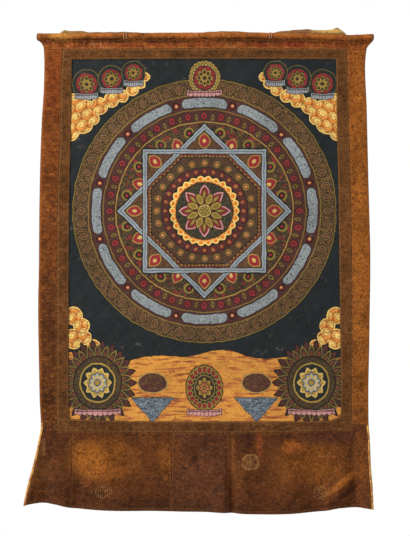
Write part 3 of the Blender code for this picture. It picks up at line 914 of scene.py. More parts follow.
def paint_seats(art):
    """The rosettes in the sky, each on a small pale base."""
    for x, z, size in ((236, -96, 19), (186, -86, 18), (142, -74, 16)):
        seat = art.around(art.mirror - x, art.z - z)
        art.disc(size * 1.5, GREEN_BLACK, seat)
        art.ring(size * 1.5, 0.5, OLIVE_GOLD, seat)
        art.flower(seat, size, (CRIMSON, DARK_BROWN, OLIVE_GOLD, GOLD), count=8)
        art.lotus_base(x, z - size * 1.3, size * 1.2, SILVER)


def paint_rings(art):
    """The great circle, from its outer edge to the field round the star."""
    reach = art.centre[0]
    art.disc(266, INK)
    art.disc(264, OLIVE_GOLD)
    art.disc(262.4, srgb(50, 36, 26))
    band = art.inside(14 - abs(reach - 247))
    art.coat(srgb(150, 110, 58), band, art.lines(7, 92, width=0.26, count=5, distort=1.8) * 0.85)
    art.petals(60, 247, 13, 8.6, (INK, srgb(126, 94, 54), DARK_BROWN), shares=(1, 0.84, 0.6))
    art.petals(60, 247, 6, 2.6, (srgb(150, 112, 60), RUST, RUST))
    art.ring(232.5, 1.0, OLIVE_GOLD)
    art.disc(231.5, MAROON)
    art.coat(INK, art.inside(231 - reach), art.lines(7, 93, width=0.2) * 0.5)
    art.bars(12, 217, 10.6, 47)
    art.beads(12, 217, 7.6, (INK, CRIMSON, PALE_GOLD), shift=0.5)
    art.ring(203, 0.8, OLIVE_GOLD)
    art.petals(36, 190, 9.6, 7.4, (INK, CRIMSON, DEEP_RED))
    art.petals(36, 188, 9.0, 4.2, (INK, OLIVE_GOLD, DARK_BROWN), shift=0.5)
    art.ring(177.5, 1.1, GOLD)
    art.disc(176, DARK_BROWN)
    field = art.inside(175 - reach)
    art.coat(OLIVE_GOLD, field, art.lines(13, 94, width=0.15, count=5) * 0.55)
    art.coat(CRIMSON, field, art.rise(art.noise(9, detail=2, turn=95), 0.56, 0.62) * 0.7)
    art.beads(16, 158, 11, (OLIVE_GOLD, INK, CRIMSON), shift=0.5)


def paint_star(art):
    """Two crossed squares and the octagon where they meet."""
    side_x = abs(art.x - ART_X)
    side_z = abs(art.z - ART_Z)
    upright = art.most(side_x, side_z)
    turned = (side_x + side_z) * math.sqrt(0.5)
    star = art.least(upright, turned)
    octagon = art.most(upright, turned)
    art.coat(INK, art.inside(126 - star))
    art.coat(MAROON, art.inside(124 - star))
    art.coat(OLIVE_GOLD, art.inside(123 - star), art.lines(8, 96, width=0.2) * 0.6)
    for shift in (0.0, 0.5):
        art.petals(8, 140, 17, 12, (GOLD, CRIMSON, PALE_GOLD), shift=shift, shares=(1, 0.84, 0.3))
    art.coat(DEEP_RED, art.inside(123 - octagon))
    marks = art.most((side_x * (1 / 7.0)).zigzag(), (side_z * (1 / 7.0)).zigzag())
    art.coat(OLIVE_GOLD, art.inside(123 - octagon), art.rise(marks, 0.34, 0.26) * 0.9)
    for square in (turned, upright):
        band = abs(square - 119)
        within = art.inside(126 - star)
        art.coat(INK, art.inside(5.6 - band), within)
        art.coat(SILVER, art.inside(4.2 - band), within)
        art.coat(BLUE_GREY, art.inside(1.0 - band), within)
    art.coat(INK, art.inside(107 - octagon))
    art.coat(BROWN, art.inside(105 - octagon))
    art.coat(INK, art.inside(104 - octagon), art.lines(6, 97, width=0.22) * 0.7)
    art.beads(24, 96, 6.4, (OLIVE_GOLD, CRIMSON, PALE_GOLD))


def paint_lotus(art):
    """The lotus at the middle, on its rings."""
    art.disc(87, INK)
    art.disc(85.6, MAROON)
    art.petals(28, 79, 7.4, 6.4, (INK, CRIMSON, OLIVE_GOLD))
    art.disc(71, INK)
    art.petals(26, 64, 8.4, 10.0, (INK, CREAM, CLOUD_ORANGE))
    art.disc(60, CLOUD_ORANGE)
    art.disc(58, INK)
    art.disc(56.6, GREEN_BLACK)
    art.coat(OLIVE_GOLD, art.inside(56 - art.centre[0]), art.lines(8, 98, width=0.18) * 0.6)
    art.petals(8, 33, 22.5, 12.5, (INK, PINK, CRIMSON), shares=(1, 0.9, 0.7))
    art.petals(8, 32, 18, 5.0, (DEEP_RED, OLIVE_GOLD, GOLD), shares=(1, 0.6, 0.3))
    art.petals(8, 25, 16, 8.4, (INK, GOLD, OLIVE_GOLD), shift=0.5)
    art.disc(14.5, INK)
    art.disc(13, PALE_GOLD)
    art.disc(11, OLIVE_GOLD)
    art.beads(8, 7.6, 2.4, (INK, PALE_GOLD, PALE_GOLD))


def paint_crown(art):
    """The rosette at the middle of the upper edge, on its base."""
    top = art.around(art.x - ART_X, art.z + 84, flat=0.92)
    art.disc(33, INK, top)
    art.disc(31.5, PALE_GOLD, top)
    art.petals(24, 28, 5, 3.6, (INK, OLIVE_GOLD, GOLD), top)
    art.flower(top, 19, (CRIMSON, DARK_BROWN, GOLD, OLIVE_GOLD), count=8)
    art.lotus_base(0, -115, 34)


def painted_canvas():
    """The painting: its design, drawn by a slightly unsteady hand, then age over it."""
    art = Shade("painted_canvas", 0.72, specular=0.25)
    x = art.x + (art.noise(16, detail=2, turn=81) - 0.5) * HAND_WOBBLE
    z = art.z + (art.noise(16, detail=2, turn=82) - 0.5) * HAND_WOBBLE
    colour = SLATE
    for draw in (paint_ground, paint_rings, paint_star, paint_lotus, paint_clouds, paint_corners,
                 paint_seats,
                 paint_crown):
        colour = art.layer(draw, colour, x, z)
    broad = art.noise(75, detail=4, turn=21)
    blots = art.noise(9, detail=5, roughness=0.7, turn=22)
    brush = art.noise(2.4, detail=3, roughness=0.7, stretch=(1.6, 1, 1), turn=23)
    light = 1 + (broad - 0.5) * 0.7 + (blots - 0.5) * 0.8 + (brush - 0.5) * 1.1
    colour = art.lit(colour, light)
    colour = art.mix(art.rise(blots, 0.56, 0.72) * 0.5, colour, DARK_BROWN)
    rubbed = art.noise(22, detail=6, roughness=0.75, turn=24)
    colour = art.mix(art.rise(rubbed, 0.6, 0.7) * 0.3, colour, srgb(134, 122, 104))
    height = 0.3 * blots + 0.35 * brush + weave(art, 1.1, 1.1, 0.05)
    return art.finish(colour, height, bump=0.45)


def canvas_back():
    """The unpainted back of the canvas: plain cotton, darkened by paint and glue that came through."""
    shade = Shade("canvas_back", 0.92)
    broad = shade.noise(70, detail=4, turn=31)
    blots = shade.noise(12, detail=5, roughness=0.65, turn=32)
    threads = shade.noise(1.5, detail=2, stretch=(2.2, 1, 0.8), turn=33)
    colour = shade.mix(shade.rise(broad + blots * 0.6, 0.55, 1.05), srgb(170, 150, 116), srgb(144, 122, 88))
    light = 1 + (threads - 0.5) * 0.5
    colour = shade.lit(colour, light)
    return shade.finish(colour, weave(shade, 1.2, 1.2) + 0.4 * threads, bump=0.6)


def outer_brocade():
    stops = [(0.0, srgb(80, 44, 21)), (0.25, srgb(86, 47, 22)), (0.55, srgb(100, 53, 24)),
             (0.85, srgb(112, 58, 24)),
             (1.0, srgb(116, 58, 24))]
    patches = [Patch(306, -230, 44, 300, srgb(158, 94, 32), 0.9),
               Patch(-300, -90, 26, 60, srgb(140, 64, 24), 0.5),
               Patch(308, -560, 42, 240, srgb(166, 98, 36), 0.9),
               Patch(-310, -600, 24, 120, srgb(72, 40, 20), 0.6),
               Patch(-306, -420, 16, 60, srgb(128, 66, 28), 0.5)]
    return brocade("outer_brocade", stops, -30, -775, flecks=(srgb(158, 92, 34), 0.45),
                   rim=(srgb(170, 98, 42), 0.6),
                   spots=(srgb(54, 28, 16), 0.75), patches=patches, gilt=(srgb(166, 92, 36), 0.3),
                   figure=0.25)


def inner_brocade():
    stops = [(0.0, srgb(88, 54, 27)), (0.5, srgb(92, 56, 27)), (1.0, srgb(92, 57, 27))]
    return brocade("inner_brocade", stops, -30, -790, flecks=(srgb(124, 76, 38), 0.45),
                   rim=(srgb(150, 106, 58), 0.6),
                   spots=(srgb(44, 28, 16), 0.7),
                   patches=[Patch(282, -400, 24, 360, srgb(116, 74, 38), 0.6)])


def valley_shade_and_rubbed_ridges(shade, colour, fine):
    """Painted shade in the gathers just below the sleeve, and pale rubbed ridges of the gathers under it."""
    ragged = shade.noise(7, detail=4, roughness=0.7, stretch=(0.8, 1, 0.4), turn=8)
    stretches = shade.noise(44, detail=1, stretch=(1, 1, 0.2), turn=11)
    ridges = shade.noise(2.6, detail=0, stretch=(1, 1, 8), turn=10)
    rubbed = shade.rise(ridges, 0.5, 0.6) * shade.most(shade.spot(-214, -19, 36, 9, ragged),
                                                       shade.spot(54, -19, 20, 8, ragged))
    colour = shade.mix(rubbed * 0.4, colour, srgb(196, 136, 84))
    groups = shade.most(shade.spot(-208, -8, 62, 14, stretches), shade.spot(-80, -8, 42, 14, stretches),
                        shade.spot(100, -8, 74, 14, stretches))
    # Painted shade: the valley below the sleeve made dark where the roll shades it, unevenly along the
    # hanging
    valley_shade_mask = shade.attribute("valley") * shade.rise(ragged + groups * 0.14, 0.46, 0.58)
    return shade.mix(valley_shade_mask * 0.97, colour, srgb(38, 13, 6))


def heading_brocade():
    # Lighter from the band up over the sleeve: a painted highlight on the roll
    stops = [(0.0, srgb(122, 60, 26)), (0.35, srgb(126, 62, 26)), (1.0, srgb(158, 90, 38))]
    patches = [Patch(178, -15, 26, 10, srgb(122, 32, 30), 0.9),
               Patch(-210, -20, 52, 8, srgb(136, 56, 32), 0.5),
               Patch(112, -17, 15, 7, srgb(132, 40, 26), 0.8),
               Patch(-317, -14, 7, 6, srgb(112, 40, 56), 0.8),
               Patch(-285, -2, 34, 10, srgb(206, 148, 66), 0.7),
               Patch(120, -16, 24, 8, srgb(92, 52, 28), 0.6), Patch(40, -17, 60, 8, srgb(120, 66, 30), 0.5)]
    return brocade("heading_brocade", stops, 4, -27, flecks=(srgb(182, 112, 48), 0.35),
                   rim=(srgb(190, 118, 58), 0.5),
                   spots=(srgb(80, 38, 18), 0.7), patches=patches, figure=0.2, woven=valley_shade_and_rubbed_ridges)


def octagon_roundel(shade, x, z, radius):
    """Mask of a woven octagonal roundel: a pale rim, a cross and its diagonals, on a paler ground."""
    side = abs(shade.x - x)
    up = abs(shade.z - z)
    reach = shade.most(side, up * 1.12, (side + up) * 0.7071)
    rim = shade.rise(abs(reach - radius + 2.2), 3.2, 1.2) * 0.75
    spokes = shade.least(side, up, abs(side - up - 4) * 0.7071)
    cross = shade.rise(spokes, 1.4, 0.5) * shade.rise(reach, radius * 0.72, radius * 0.62) * 0.7
    return shade.most(rim, cross, shade.rise(reach, radius, radius - 2) * 0.25)


def woven_motifs(shade, colour, fine):
    """The woven motifs that are left: a roundel, two worn ones, a small ring and a trail of beads."""
    mask = octagon_roundel(shade, 90, -852, 17.5)
    for x, z, wide, high, lean, pitch in ((-203, -912, 19, 14, 0.0, 4.6), (231, -914, 17, 15, 0.7, 5.2)):
        across = abs(shade.x - x) - (shade.z - z) * lean
        stripes = shade.rise((across * (1 / pitch)).zigzag(), 0.26, 0.1)
        breaks = shade.rise(shade.noise(5, detail=2, turn=9), 0.42, 0.56)
        side = (shade.x - x) / wide
        up = (shade.z - z) / high
        mask = shade.most(mask, stripes * breaks * shade.rise(side * side + up * up, 1.1, 0.7))
    ring = shade.length(shade.x + 297, shade.z + 782)
    mask = shade.most(mask, shade.rise(abs(ring - 5), 1.4, 0.4) * 0.7)
    along = ((shade.z * (1 / 7.0)).fraction() - 0.5) * 7
    beads = shade.length(shade.x + 323, along)
    trail = shade.rise(abs(beads - 2.4), 1.3, 0.4) * shade.rise(abs(shade.z + 821), 19, 16)
    mask = shade.most(mask, trail * 0.6)
    worn = shade.rise(shade.noise(9, detail=3, turn=14), 0.3, 0.5)
    return shade.mix(mask * (fine * 0.35 + 0.45) * worn, colour, srgb(182, 134, 80))


def skirt_cloth(name, dark, light):
    stops = [(0.0, dark), (0.45, light), (1.0, dark)]
    worn = srgb(160, 92, 30)
    patches = [Patch(-206, -846, 76, 52, worn, 0.75), Patch(-236, -846, 42, 36, srgb(178, 108, 36), 0.5),
               Patch(-80, -852, 16, 34, worn, 0.75), Patch(-90, -830, 60, 40, srgb(120, 66, 26), 0.5),
               Patch(214, -854, 94, 52, worn, 0.6), Patch(107, -814, 9, 34, srgb(154, 76, 34), 0.55),
               Patch(82, -808, 17, 28, srgb(60, 32, 26), 0.8),
               Patch(54, -836, 8, 56, srgb(146, 86, 40), 0.6),
               Patch(236, -792, 74, 26, srgb(64, 34, 28), 0.85),
               Patch(171, -822, 22, 15, srgb(180, 98, 38), 0.8),
               Patch(168, -866, 24, 22, srgb(154, 88, 36), 0.5),
               Patch(241, -841, 20, 2.5, srgb(186, 112, 56), 0.8),
               # Painted light and shade: the lit upper side and the shaded lower side of the diagonal
               # wrinkle
               Patch(270, -896, 13, 28, srgb(186, 108, 44), 0.75, 1.2),
               Patch(280, -916, 11, 32, srgb(50, 28, 18), 0.7, 1.2),
               Patch(-296, -868, 40, 84, srgb(66, 38, 24), 0.5),
               Patch(-330, -850, 16, 60, srgb(104, 62, 28), 0.5),
               Patch(310, -850, 16, 80, srgb(132, 74, 28), 0.6),
               Patch(-60, -944, 260, 18, srgb(62, 36, 22), 0.6),
               Patch(190, -900, 90, 40, srgb(112, 62, 28), 0.5)]
    return brocade(name, stops, -785, -950, flecks=(srgb(128, 74, 28), 0.35), rim=(srgb(140, 84, 40), 0.4),
                   spots=(srgb(42, 24, 14), 0.65), patches=patches, gilt=(srgb(150, 88, 34), 0.3),
                   figure=0.8,
                   woven=woven_motifs)


def golden_cloth():
    shade = Shade("golden_binding", 0.6, sheen=0.2, specular=0.4)
    blots = shade.noise(9, detail=4, turn=41)
    threads = shade.noise(1.2, detail=2, stretch=(2.4, 1, 0.7), turn=42)
    colour = shade.mix(shade.rise(blots, 0.38, 0.66), srgb(164, 100, 40), srgb(222, 166, 78))
    light = 1 + (threads - 0.5) * 0.7
    colour = shade.lit(colour, light)
    return shade.finish(colour, 0.4 * threads + weave(shade, 1.0, 0.8), bump=0.6)


def silk():
    """Thin silk whose dye has faded unevenly from one end to the other, with a painted shadow low on it just
    above the sleeve.
    """
    shade = Shade("veil_silk", 0.5, sheen=0.3, specular=0.4)
    stops = [(0.0, srgb(148, 110, 52)), (0.13, srgb(130, 92, 46)), (0.24, srgb(112, 76, 38)),
             (0.35, srgb(146, 104, 52)),
             (0.52, srgb(132, 104, 50)), (0.7, srgb(144, 96, 50)), (0.87, srgb(138, 92, 48)),
             (0.93, srgb(200, 160, 78)),
             (1.0, srgb(206, 162, 80))]
    blots = shade.noise(11, detail=4, turn=51)
    colour = shade.ramp((shade.x + 294) * (1 / 577) + (blots - 0.5) * 0.12, stops)
    # Painted shadow: a dark band low on the veil, just above the sleeve, where the sleeve shades it
    low = shade.rise(abs(shade.z - 3 + (blots - 0.5) * 4), 5.5, 3.0) * shade.rise(shade.x, 90, 130)
    colour = shade.mix(low * 0.65, colour, srgb(84, 44, 26))
    colour = shade.mix(shade.spot(263, 15.5, 6, 3, blots) * 0.8, colour, srgb(74, 62, 44))
    threads = shade.noise(1.1, detail=2, stretch=(0.7, 1, 2.2), turn=52)
    light = 1 + (blots - 0.5) * 1.0 + (threads - 0.5) * 0.5
    colour = shade.lit(colour, light)
    return shade.finish(colour, 0.3 * threads + 0.4 * blots, bump=0.5)


def thread(name, colour, twist=1.4):
    shade = Shade(name, 0.85, sheen=0.2)
    strands = shade.noise(twist, detail=2, turn=61)
    light = 1 + (strands - 0.5) * 1.0
    tinted = shade.lit(colour, light)
    return shade.finish(tinted, 0.3 * strands, bump=0.6)


def wood():
    """A dark stick: long grain on its round, rings on its sawn ends."""
    shade = Shade("rod_wood", 0.62, specular=0.35)
    grain = shade.noise(2.0, detail=4, roughness=0.65, stretch=(14, 1, 1), turn=71)
    reach = shade.length(shade.y, shade.z + 2.2)
    rings = (reach * 5.2 + grain * 4).sine() * 0.5 + 0.5
    colour = shade.mix(shade.rise(grain, 0.35, 0.66), srgb(58, 38, 24), srgb(112, 76, 46))
    colour = shade.mix(rings * 0.35, colour, srgb(40, 26, 18))
    return shade.finish(colour, 0.5 * grain + 0.2 * rings, bump=0.6)


# Pieces

def make_frames(inner, outer):
    """The inner frame's four strips and the outer frame's two."""
    half = SEAM_GAP / 2
    seam = line(HEADING_SEAM, -half)
    opening_top, opening_low = line(OPENING_TOP, -half), line(OPENING_LOW, half)
    left, right = line(FRAME_LEFT, half), line(FRAME_RIGHT, -half)
    opening_left, opening_right = line(OPENING_LEFT), line(OPENING_RIGHT)
    end_left, end_right = level(SIDE_END_LEFT + half), level(SIDE_END_RIGHT + half)
    inside = [
        ("top", (570, 21.8), (left, right, line(OPENING_TOP), seam)),
        ("bottom", (588.6, 24), (left, right, line(FRAME_LOW, half), line(OPENING_LOW))),
        ("left", (23, 721), (left, opening_left, opening_low, opening_top)),
        ("right", (23, 721), (opening_right, right, opening_low, opening_top)),
    ]
    outside = [
        ("left", (38, 747), (line(LEFT_EDGE), line(FRAME_LEFT, -half), end_left, seam)),
        ("right", (36, 751), (line(FRAME_RIGHT, half), line(RIGHT_EDGE), end_right, seam)),
    ]
    for frame_name, finish, strips in (("inner", inner, inside), ("outer", outer, outside)):
        for side, (width, height), lines in strips:
            grid = patch(*lines, spread(width, CLOTH_STEP), spread(height, CLOTH_STEP))
            sheet(f"{frame_name}_border_{side}", finish, frame_name + "_brocade", [grid],
                  (width * MM, height * MM))


def make_painting(finish, back):
    """The painted canvas, whose edges lap under the inner frame."""
    low = line(FRAME_LOW, BORDER_LOW_HEIGHT - CANVAS_LAP_LOW)
    grid = patch(line(OPENING_LEFT, -CANVAS_LAP), line(OPENING_RIGHT, CANVAS_LAP), low,
                 line(OPENING_TOP, CANVAS_LAP), spread(552, CANVAS_STEP), spread(740, CANVAS_STEP))
    behind = (BROCADE + CANVAS) / 2 + CANVAS_BEHIND
    item = sheet("painting", finish, "painted_canvas", [grid], (0.552, 0.742), CANVAS, behind,
                 canvas_surface)
    item.data.materials.append(back)
    for face in item.data.polygons:
        if face.normal.y > 0.2:
            face.material_index = 1


def skirt_seam(z):
    """The seam between the left side panel and the left panel, which leans out a little towards the hem."""
    down = (SKIRT_TOP - z) / SKIRT_LENGTH
    return SKIRT_SEAM_TOP + (SKIRT_SEAM_HEM - SKIRT_SEAM_TOP) * down


def make_skirt(cloth, door, gold):
    """Four cut panels, of which the two outer ones step up beside the inner frame, and their bindings."""
    half = SEAM_GAP / 2
    inset = BINDING_CLOTH + BINDING_CLEAR
    hem, top = line(HEM), line(FRAME_LOW, -half)
    left_edge, right_edge = line(LEFT_EDGE, inset), line(RIGHT_EDGE, -inset)
    step_left = level(float(smooth(FRAME_LEFT, SKIRT_TOP)) - half)
    step_right = level(float(smooth(FRAME_RIGHT, SKIRT_TOP)) + half)
    door_left, door_right = level(DOOR_LEFT - half), level(DOOR_RIGHT + half)
    up = spread(158, CLOTH_STEP)

    def panel(left, right, width):
        return patch(left, right, hem, top, spread(width, CLOTH_STEP), up)

    def beside_frame(left, right, width, end, rows):
        return patch(left, right, top, level(end - half), spread(width, CLOTH_STEP), np.linspace(0, 1, rows))

    far_left = [panel(left_edge, step_left, 46), beside_frame(left_edge, step_left, 46, SIDE_END_LEFT, 9)]
    far_right = [panel(step_right, right_edge, 36),
                 beside_frame(step_right, right_edge, 36, SIDE_END_RIGHT, 7)]
    beside = panel(step_left, lambda z: skirt_seam(z) - half, 29)
    sheet("skirt_side_left", cloth, "skirt_brocade", [far_left[0], beside, far_left[1]], (0.096, 0.172))
    sheet("skirt_left", cloth, "skirt_brocade", [panel(lambda z: skirt_seam(z) + half, door_left, 200)],
          (0.2, 0.158))
    sheet("skirt_door", door, "door_brocade",
          [panel(level(DOOR_LEFT + half), level(DOOR_RIGHT - half), 111)], (0.112, 0.161))
    sheet("skirt_right", cloth, "skirt_brocade", [panel(door_right, step_right, 249), *far_right],
          (0.294, 0.176))
    make_binding("skirt_binding_left", gold, far_left, 0, 1)
    make_binding("skirt_binding_right", gold, far_right, -1, -1)


def make_binding(node, finish, grids, column, inward):
    """A narrow strip folded over an edge of the skirt, which follows the cloth's lean there."""
    edge = np.concatenate([np.stack((x[:, column], z[:, column]), axis=1) for x, z in grids])
    edge = edge[np.concatenate([[True], np.diff(edge[:, 1]) > BINDING_CLEAR])]
    x, z = edge[:, :1], edge[:, 1:]
    y = surface(x, z)
    lean = (surface(x + inward * LEAN_SPAN, z) - y) / LEAN_SPAN
    wander = 0.35 * np.sin(z / 9) + 0.25 * np.sin(z / 23 + 2)
    inner = BROCADE / 2 + BINDING_CLEAR
    outer = inner + BINDING_CLOTH
    far, lip = BINDING_WIDTH + 0.25, BINDING_WIDTH - 0.2
    across, out = np.array([
        (BINDING_WIDTH, -inner), (far, -inner - 0.4), (lip, -outer), (1.4, -outer - 0.15),
                            (0.35, -outer + 0.3),
        (-0.1, -0.6), (-0.1, 0.6), (0.35, outer - 0.3), (1.4, outer), (lip, outer), (far, inner + 0.4),
        (BINDING_WIDTH, inner), (0.9, inner), (0.75, 0), (0.9, -inner)
    ]).T
    aside = across - BINDING_CLOTH - BINDING_CLEAR + np.where(across > 2, wander, 0)
    rings = np.stack((x + inward * aside, y + out + lean * aside, z + 0 * aside), axis=2)
    faces = loft_faces(*rings.shape[:2], turned=inward > 0)
    item = make_object(node + "_cloth", rings.reshape(-1, 3), faces, finish)
    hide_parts(node)


def heading_place(across, y, z, share):
    """The heading's section points, moved to their places across the hanging."""
    left, right = float(smooth(LEFT_EDGE, 0)), float(smooth(RIGHT_EDGE, 0))
    x = left + (right - left) * across
    for _ in range(5):
        height = np.where(share > 0, z + (smooth(HEADING_SEAM, x) + SEAM_GAP / 2 - z) * share, 0)
        left, right = smooth(LEFT_EDGE, height), smooth(RIGHT_EDGE, height)
        x = left + (right - left) * across
    rod = smooth(ROD_LINE, x)
    y = np.where(share > 0, y + surface(x, height) * share, y)
    return x, y, np.where(share > 0, height + rod * (1 - share), z + rod)


def make_heading(finish):
    """One cloth: up from its seam, over the rod as a sleeve, and down behind to its stitches."""
    middle = SLEEVE_RADIUS - SLEEVE_CLOTH / 2
    band = np.linspace(1, 1 / BAND_ROWS, BAND_ROWS)
    turn = -math.pi / 2 - SLEEVE_MOUTH - 2 * (math.pi - SLEEVE_MOUTH) * np.linspace(0, 1, SLEEVE_ROWS)
    y = np.concatenate((SLEEVE_PINCH * np.sin(math.pi * np.sqrt(band)) ** 2, middle * np.cos(turn)))
    z = np.concatenate((np.full(BAND_ROWS, -SLEEVE_RADIUS), middle * np.sin(turn)))
    share = np.concatenate((band, np.zeros(SLEEVE_ROWS)))
    across = np.linspace(0, 1, HEADING_STEPS + 1)[:, None]
    x, y, z = heading_place(*np.broadcast_arrays(across, y, z, share))
    gather = (0.22 * np.sin(x / 3.1 + 2.2 * np.sin(x / 29)) + 0.3
              * np.sin(x / 7.7 + 1.5 * np.sin(x / 53) + 1)
              + 0.18 * np.sin(x / 19))
    turn = np.concatenate((np.zeros(BAND_ROWS), turn))
    bulge = gather * np.where(share == 0, 0.75 - 0.35 * np.sin(turn), 0)
    folds = np.sin(x / 1.9 + 3 * np.sin(x / 23)) * 0.35 + gather
    y = y + bulge * np.cos(turn) - 1.7 * folds * np.sin(math.pi * share ** 0.5) ** 1.5
    z = z + bulge * np.sin(turn)
    item, points, faces = shell("heading", np.stack((x, y, z), axis=2), SLEEVE_CLOTH, finish)
    store(item, "edge", np.tile(edge_distance(points, faces), 2))
    # Share of the valley just below the roll, where the heading's material lays its painted shade
    below = points[:, 2] - smooth(ROD_LINE, points[:, 0]) + SLEEVE_RADIUS
    store(item, "valley", np.tile(bell(below + 1.0, 4.2), 2))
    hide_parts("heading")


def veil_route(top, axis):
    """Middle line (y, z) of the folded veil: sewn under the sleeve, up behind it, over, and down."""
    near = SLEEVE_RADIUS + 1.0
    low = top - 0.5 - VEIL_TURN
    route = [(VEIL_SEWN, axis - 25), (VEIL_SEWN + 0.4, axis - 17), (VEIL_SEWN + 2, axis - 9.5),
             (near, axis - 1)]
    for k in range(5):
        angle = math.pi * k / 4
        route.append((near + VEIL_TURN * (1 - math.cos(angle)), low + VEIL_TURN * math.sin(angle)))
    route += [(near + 2 * VEIL_TURN, -8), (near + 1.6, -28), (near - 1.2, -52), (near - 2.6, VEIL_TAIL)]
    return np.array(route)


def make_veil(finish):
    """The dust veil: a thin silk folded over once behind the sleeve, whose fold rises unevenly above it."""
    start, end = VEIL_TOP[0].x, VEIL_TOP[-1].x
    rows = []
    for x in np.linspace(start, end, round((end - start) / VEIL_STEP) + 1):
        route = veil_route(float(smooth(VEIL_TOP, x)), float(smooth(ROD_LINE, x)))
        place = np.concatenate(([0], np.cumsum(np.hypot(*np.diff(route, axis=0).T))))
        rise = np.linspace(0, place[4], 7)[:-1]
        tail = np.linspace(place[8], place[-1], 26)[1:]
        at = np.concatenate((rise, place[4:9], tail))
        y, z = (np.interp(at, place, column) for column in route.T)
        hanging = ease((at - place[8]) / 40)
        crumple = np.sin(x / 17) * 0.5 + np.sin(x / 41 + 1) * 0.4 + np.sin(x / 6.3 + z / 11) * 0.35 * hanging
        y = y + crumple * hanging + 0.25 * np.sin(x / 4.9 + 2 * np.sin(x / 23)) * (1 - hanging)
        near_top = (at > place[3]) & (at < place[9])
        z = z + 0.35 * np.sin(x / 5.3 + 2 * np.sin(x / 31)) * near_top
        rows.append(np.stack((np.full(len(at), x), y, z), axis=1))
    item, _, _ = shell("dust_veil", np.array(rows), VEIL_CLOTH, finish)
    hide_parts("dust_veil")


def tube(points, radius, first, sides=6):
    """Points and faces of a round tube along a route, whose points count on from a first one."""
    along = unit(np.gradient(points, axis=0))
    across = np.cross(along, [1.0, 0.0, 0.0])
    weak = np.linalg.norm(across, axis=1) < 0.2
    across[weak] = np.cross(along[weak], [0.0, 0.0, 1.0])
    across = unit(across)
    up = np.cross(along, across)
    angle = 2 * math.pi * np.arange(sides)[:, None] / sides
    rings = points[:, None] + radius * (np.cos(angle) * across[:, None] + np.sin(angle) * up[:, None])
    return rings.reshape(-1, 3), loft_faces(len(points), sides, first, turned=True)


def resample(points, step):
    """A route with points a step apart."""
    points = np.asarray(points, float)
    place = np.concatenate(([0], np.cumsum(np.linalg.norm(np.diff(points, axis=0), axis=1))))
    at = np.linspace(0, place[-1], max(2, round(place[-1] / step) + 1))
    return np.stack([np.interp(at, place, points[:, k]) for k in range(3)], axis=1), at


def make_ties(finish):
    """Two thread ties of two twisted plies, looped over the sleeve."""
    reach = SLEEVE_RADIUS + TIE_CLEAR + TIE_RADIUS
    leg = np.linspace(TIE_FRONT, TIE_BACK, TIE_STEPS)
    bend = math.pi * np.arange(1, 12) / 12
    for node, (first, second) in TIE_PAIRS.items():
        middle, half = (first + second) / 2, (second - first) / 2
        x = np.concatenate((np.full(TIE_STEPS, first), middle - half * np.cos(bend),
                            np.full(TIE_STEPS, second)))
        angle = np.concatenate((leg, TIE_BACK - half / reach * np.sin(bend), leg[::-1]))
        route = np.stack((x, reach * np.cos(angle), reach * np.sin(angle) + smooth(ROD_LINE, x)), axis=1)
        points, at = resample(route, PLY_STEP)
        axis = np.stack((points[:, 0], 0 * at, smooth(ROD_LINE, points[:, 0])), axis=1)
        out = unit(points - axis)
        side = np.cross(unit(np.gradient(points, axis=0)), out)
        verts, faces = np.zeros((0, 3)), []
        for ply in range(2):
            turn = (2 * math.pi * at / PLY_PITCH + math.pi * ply)[:, None]
            centre = points + PLY_RADIUS * (np.cos(turn) * out + np.sin(turn) * side)
            ply_verts, ply_faces = tube(centre, PLY_RADIUS, len(verts))
            verts = np.concatenate((verts, ply_verts))
            faces += ply_faces
        item = make_object(node + "_thread", verts, faces, finish)
        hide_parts(node)


def make_stitches(name, route, finish, lift=0.1):
    """A row of short stitches along a route, each a little bar whose ends go into the cloth."""
    points, at = resample(route, STITCH_PITCH)
    ahead = unit(np.gradient(points, axis=0))
    side = np.cross(ahead, TOWARD_VIEWER)
    uneven = (0.12 * np.sin(at * 1.7) + 0.1 * np.sin(at * 0.61 + 1))[:, None]
    middle = points + side * uneven * 2 + TOWARD_VIEWER * lift
    ahead = ahead * STITCH_LENGTH * (1 + uneven)
    share, out, fat = np.array(STITCH_ROWS).T[:, :, None, None]
    angle = 2 * math.pi * np.arange(STITCH_SIDES)[:, None] / STITCH_SIDES
    middle, ahead, side = (part[:, None, None] for part in (middle, ahead, side))
    around = fat * (np.cos(angle) * side + np.sin(angle) * TOWARD_VIEWER)
    bars = middle + ahead * share + STITCH_RADIUS * (out * TOWARD_VIEWER + around)
    rings = len(STITCH_ROWS)
    faces = [face for k in range(len(points))
             for face in loft_faces(rings, STITCH_SIDES, k * rings * STITCH_SIDES)]
    make_object(name, bars.reshape(-1, 3), faces, finish)


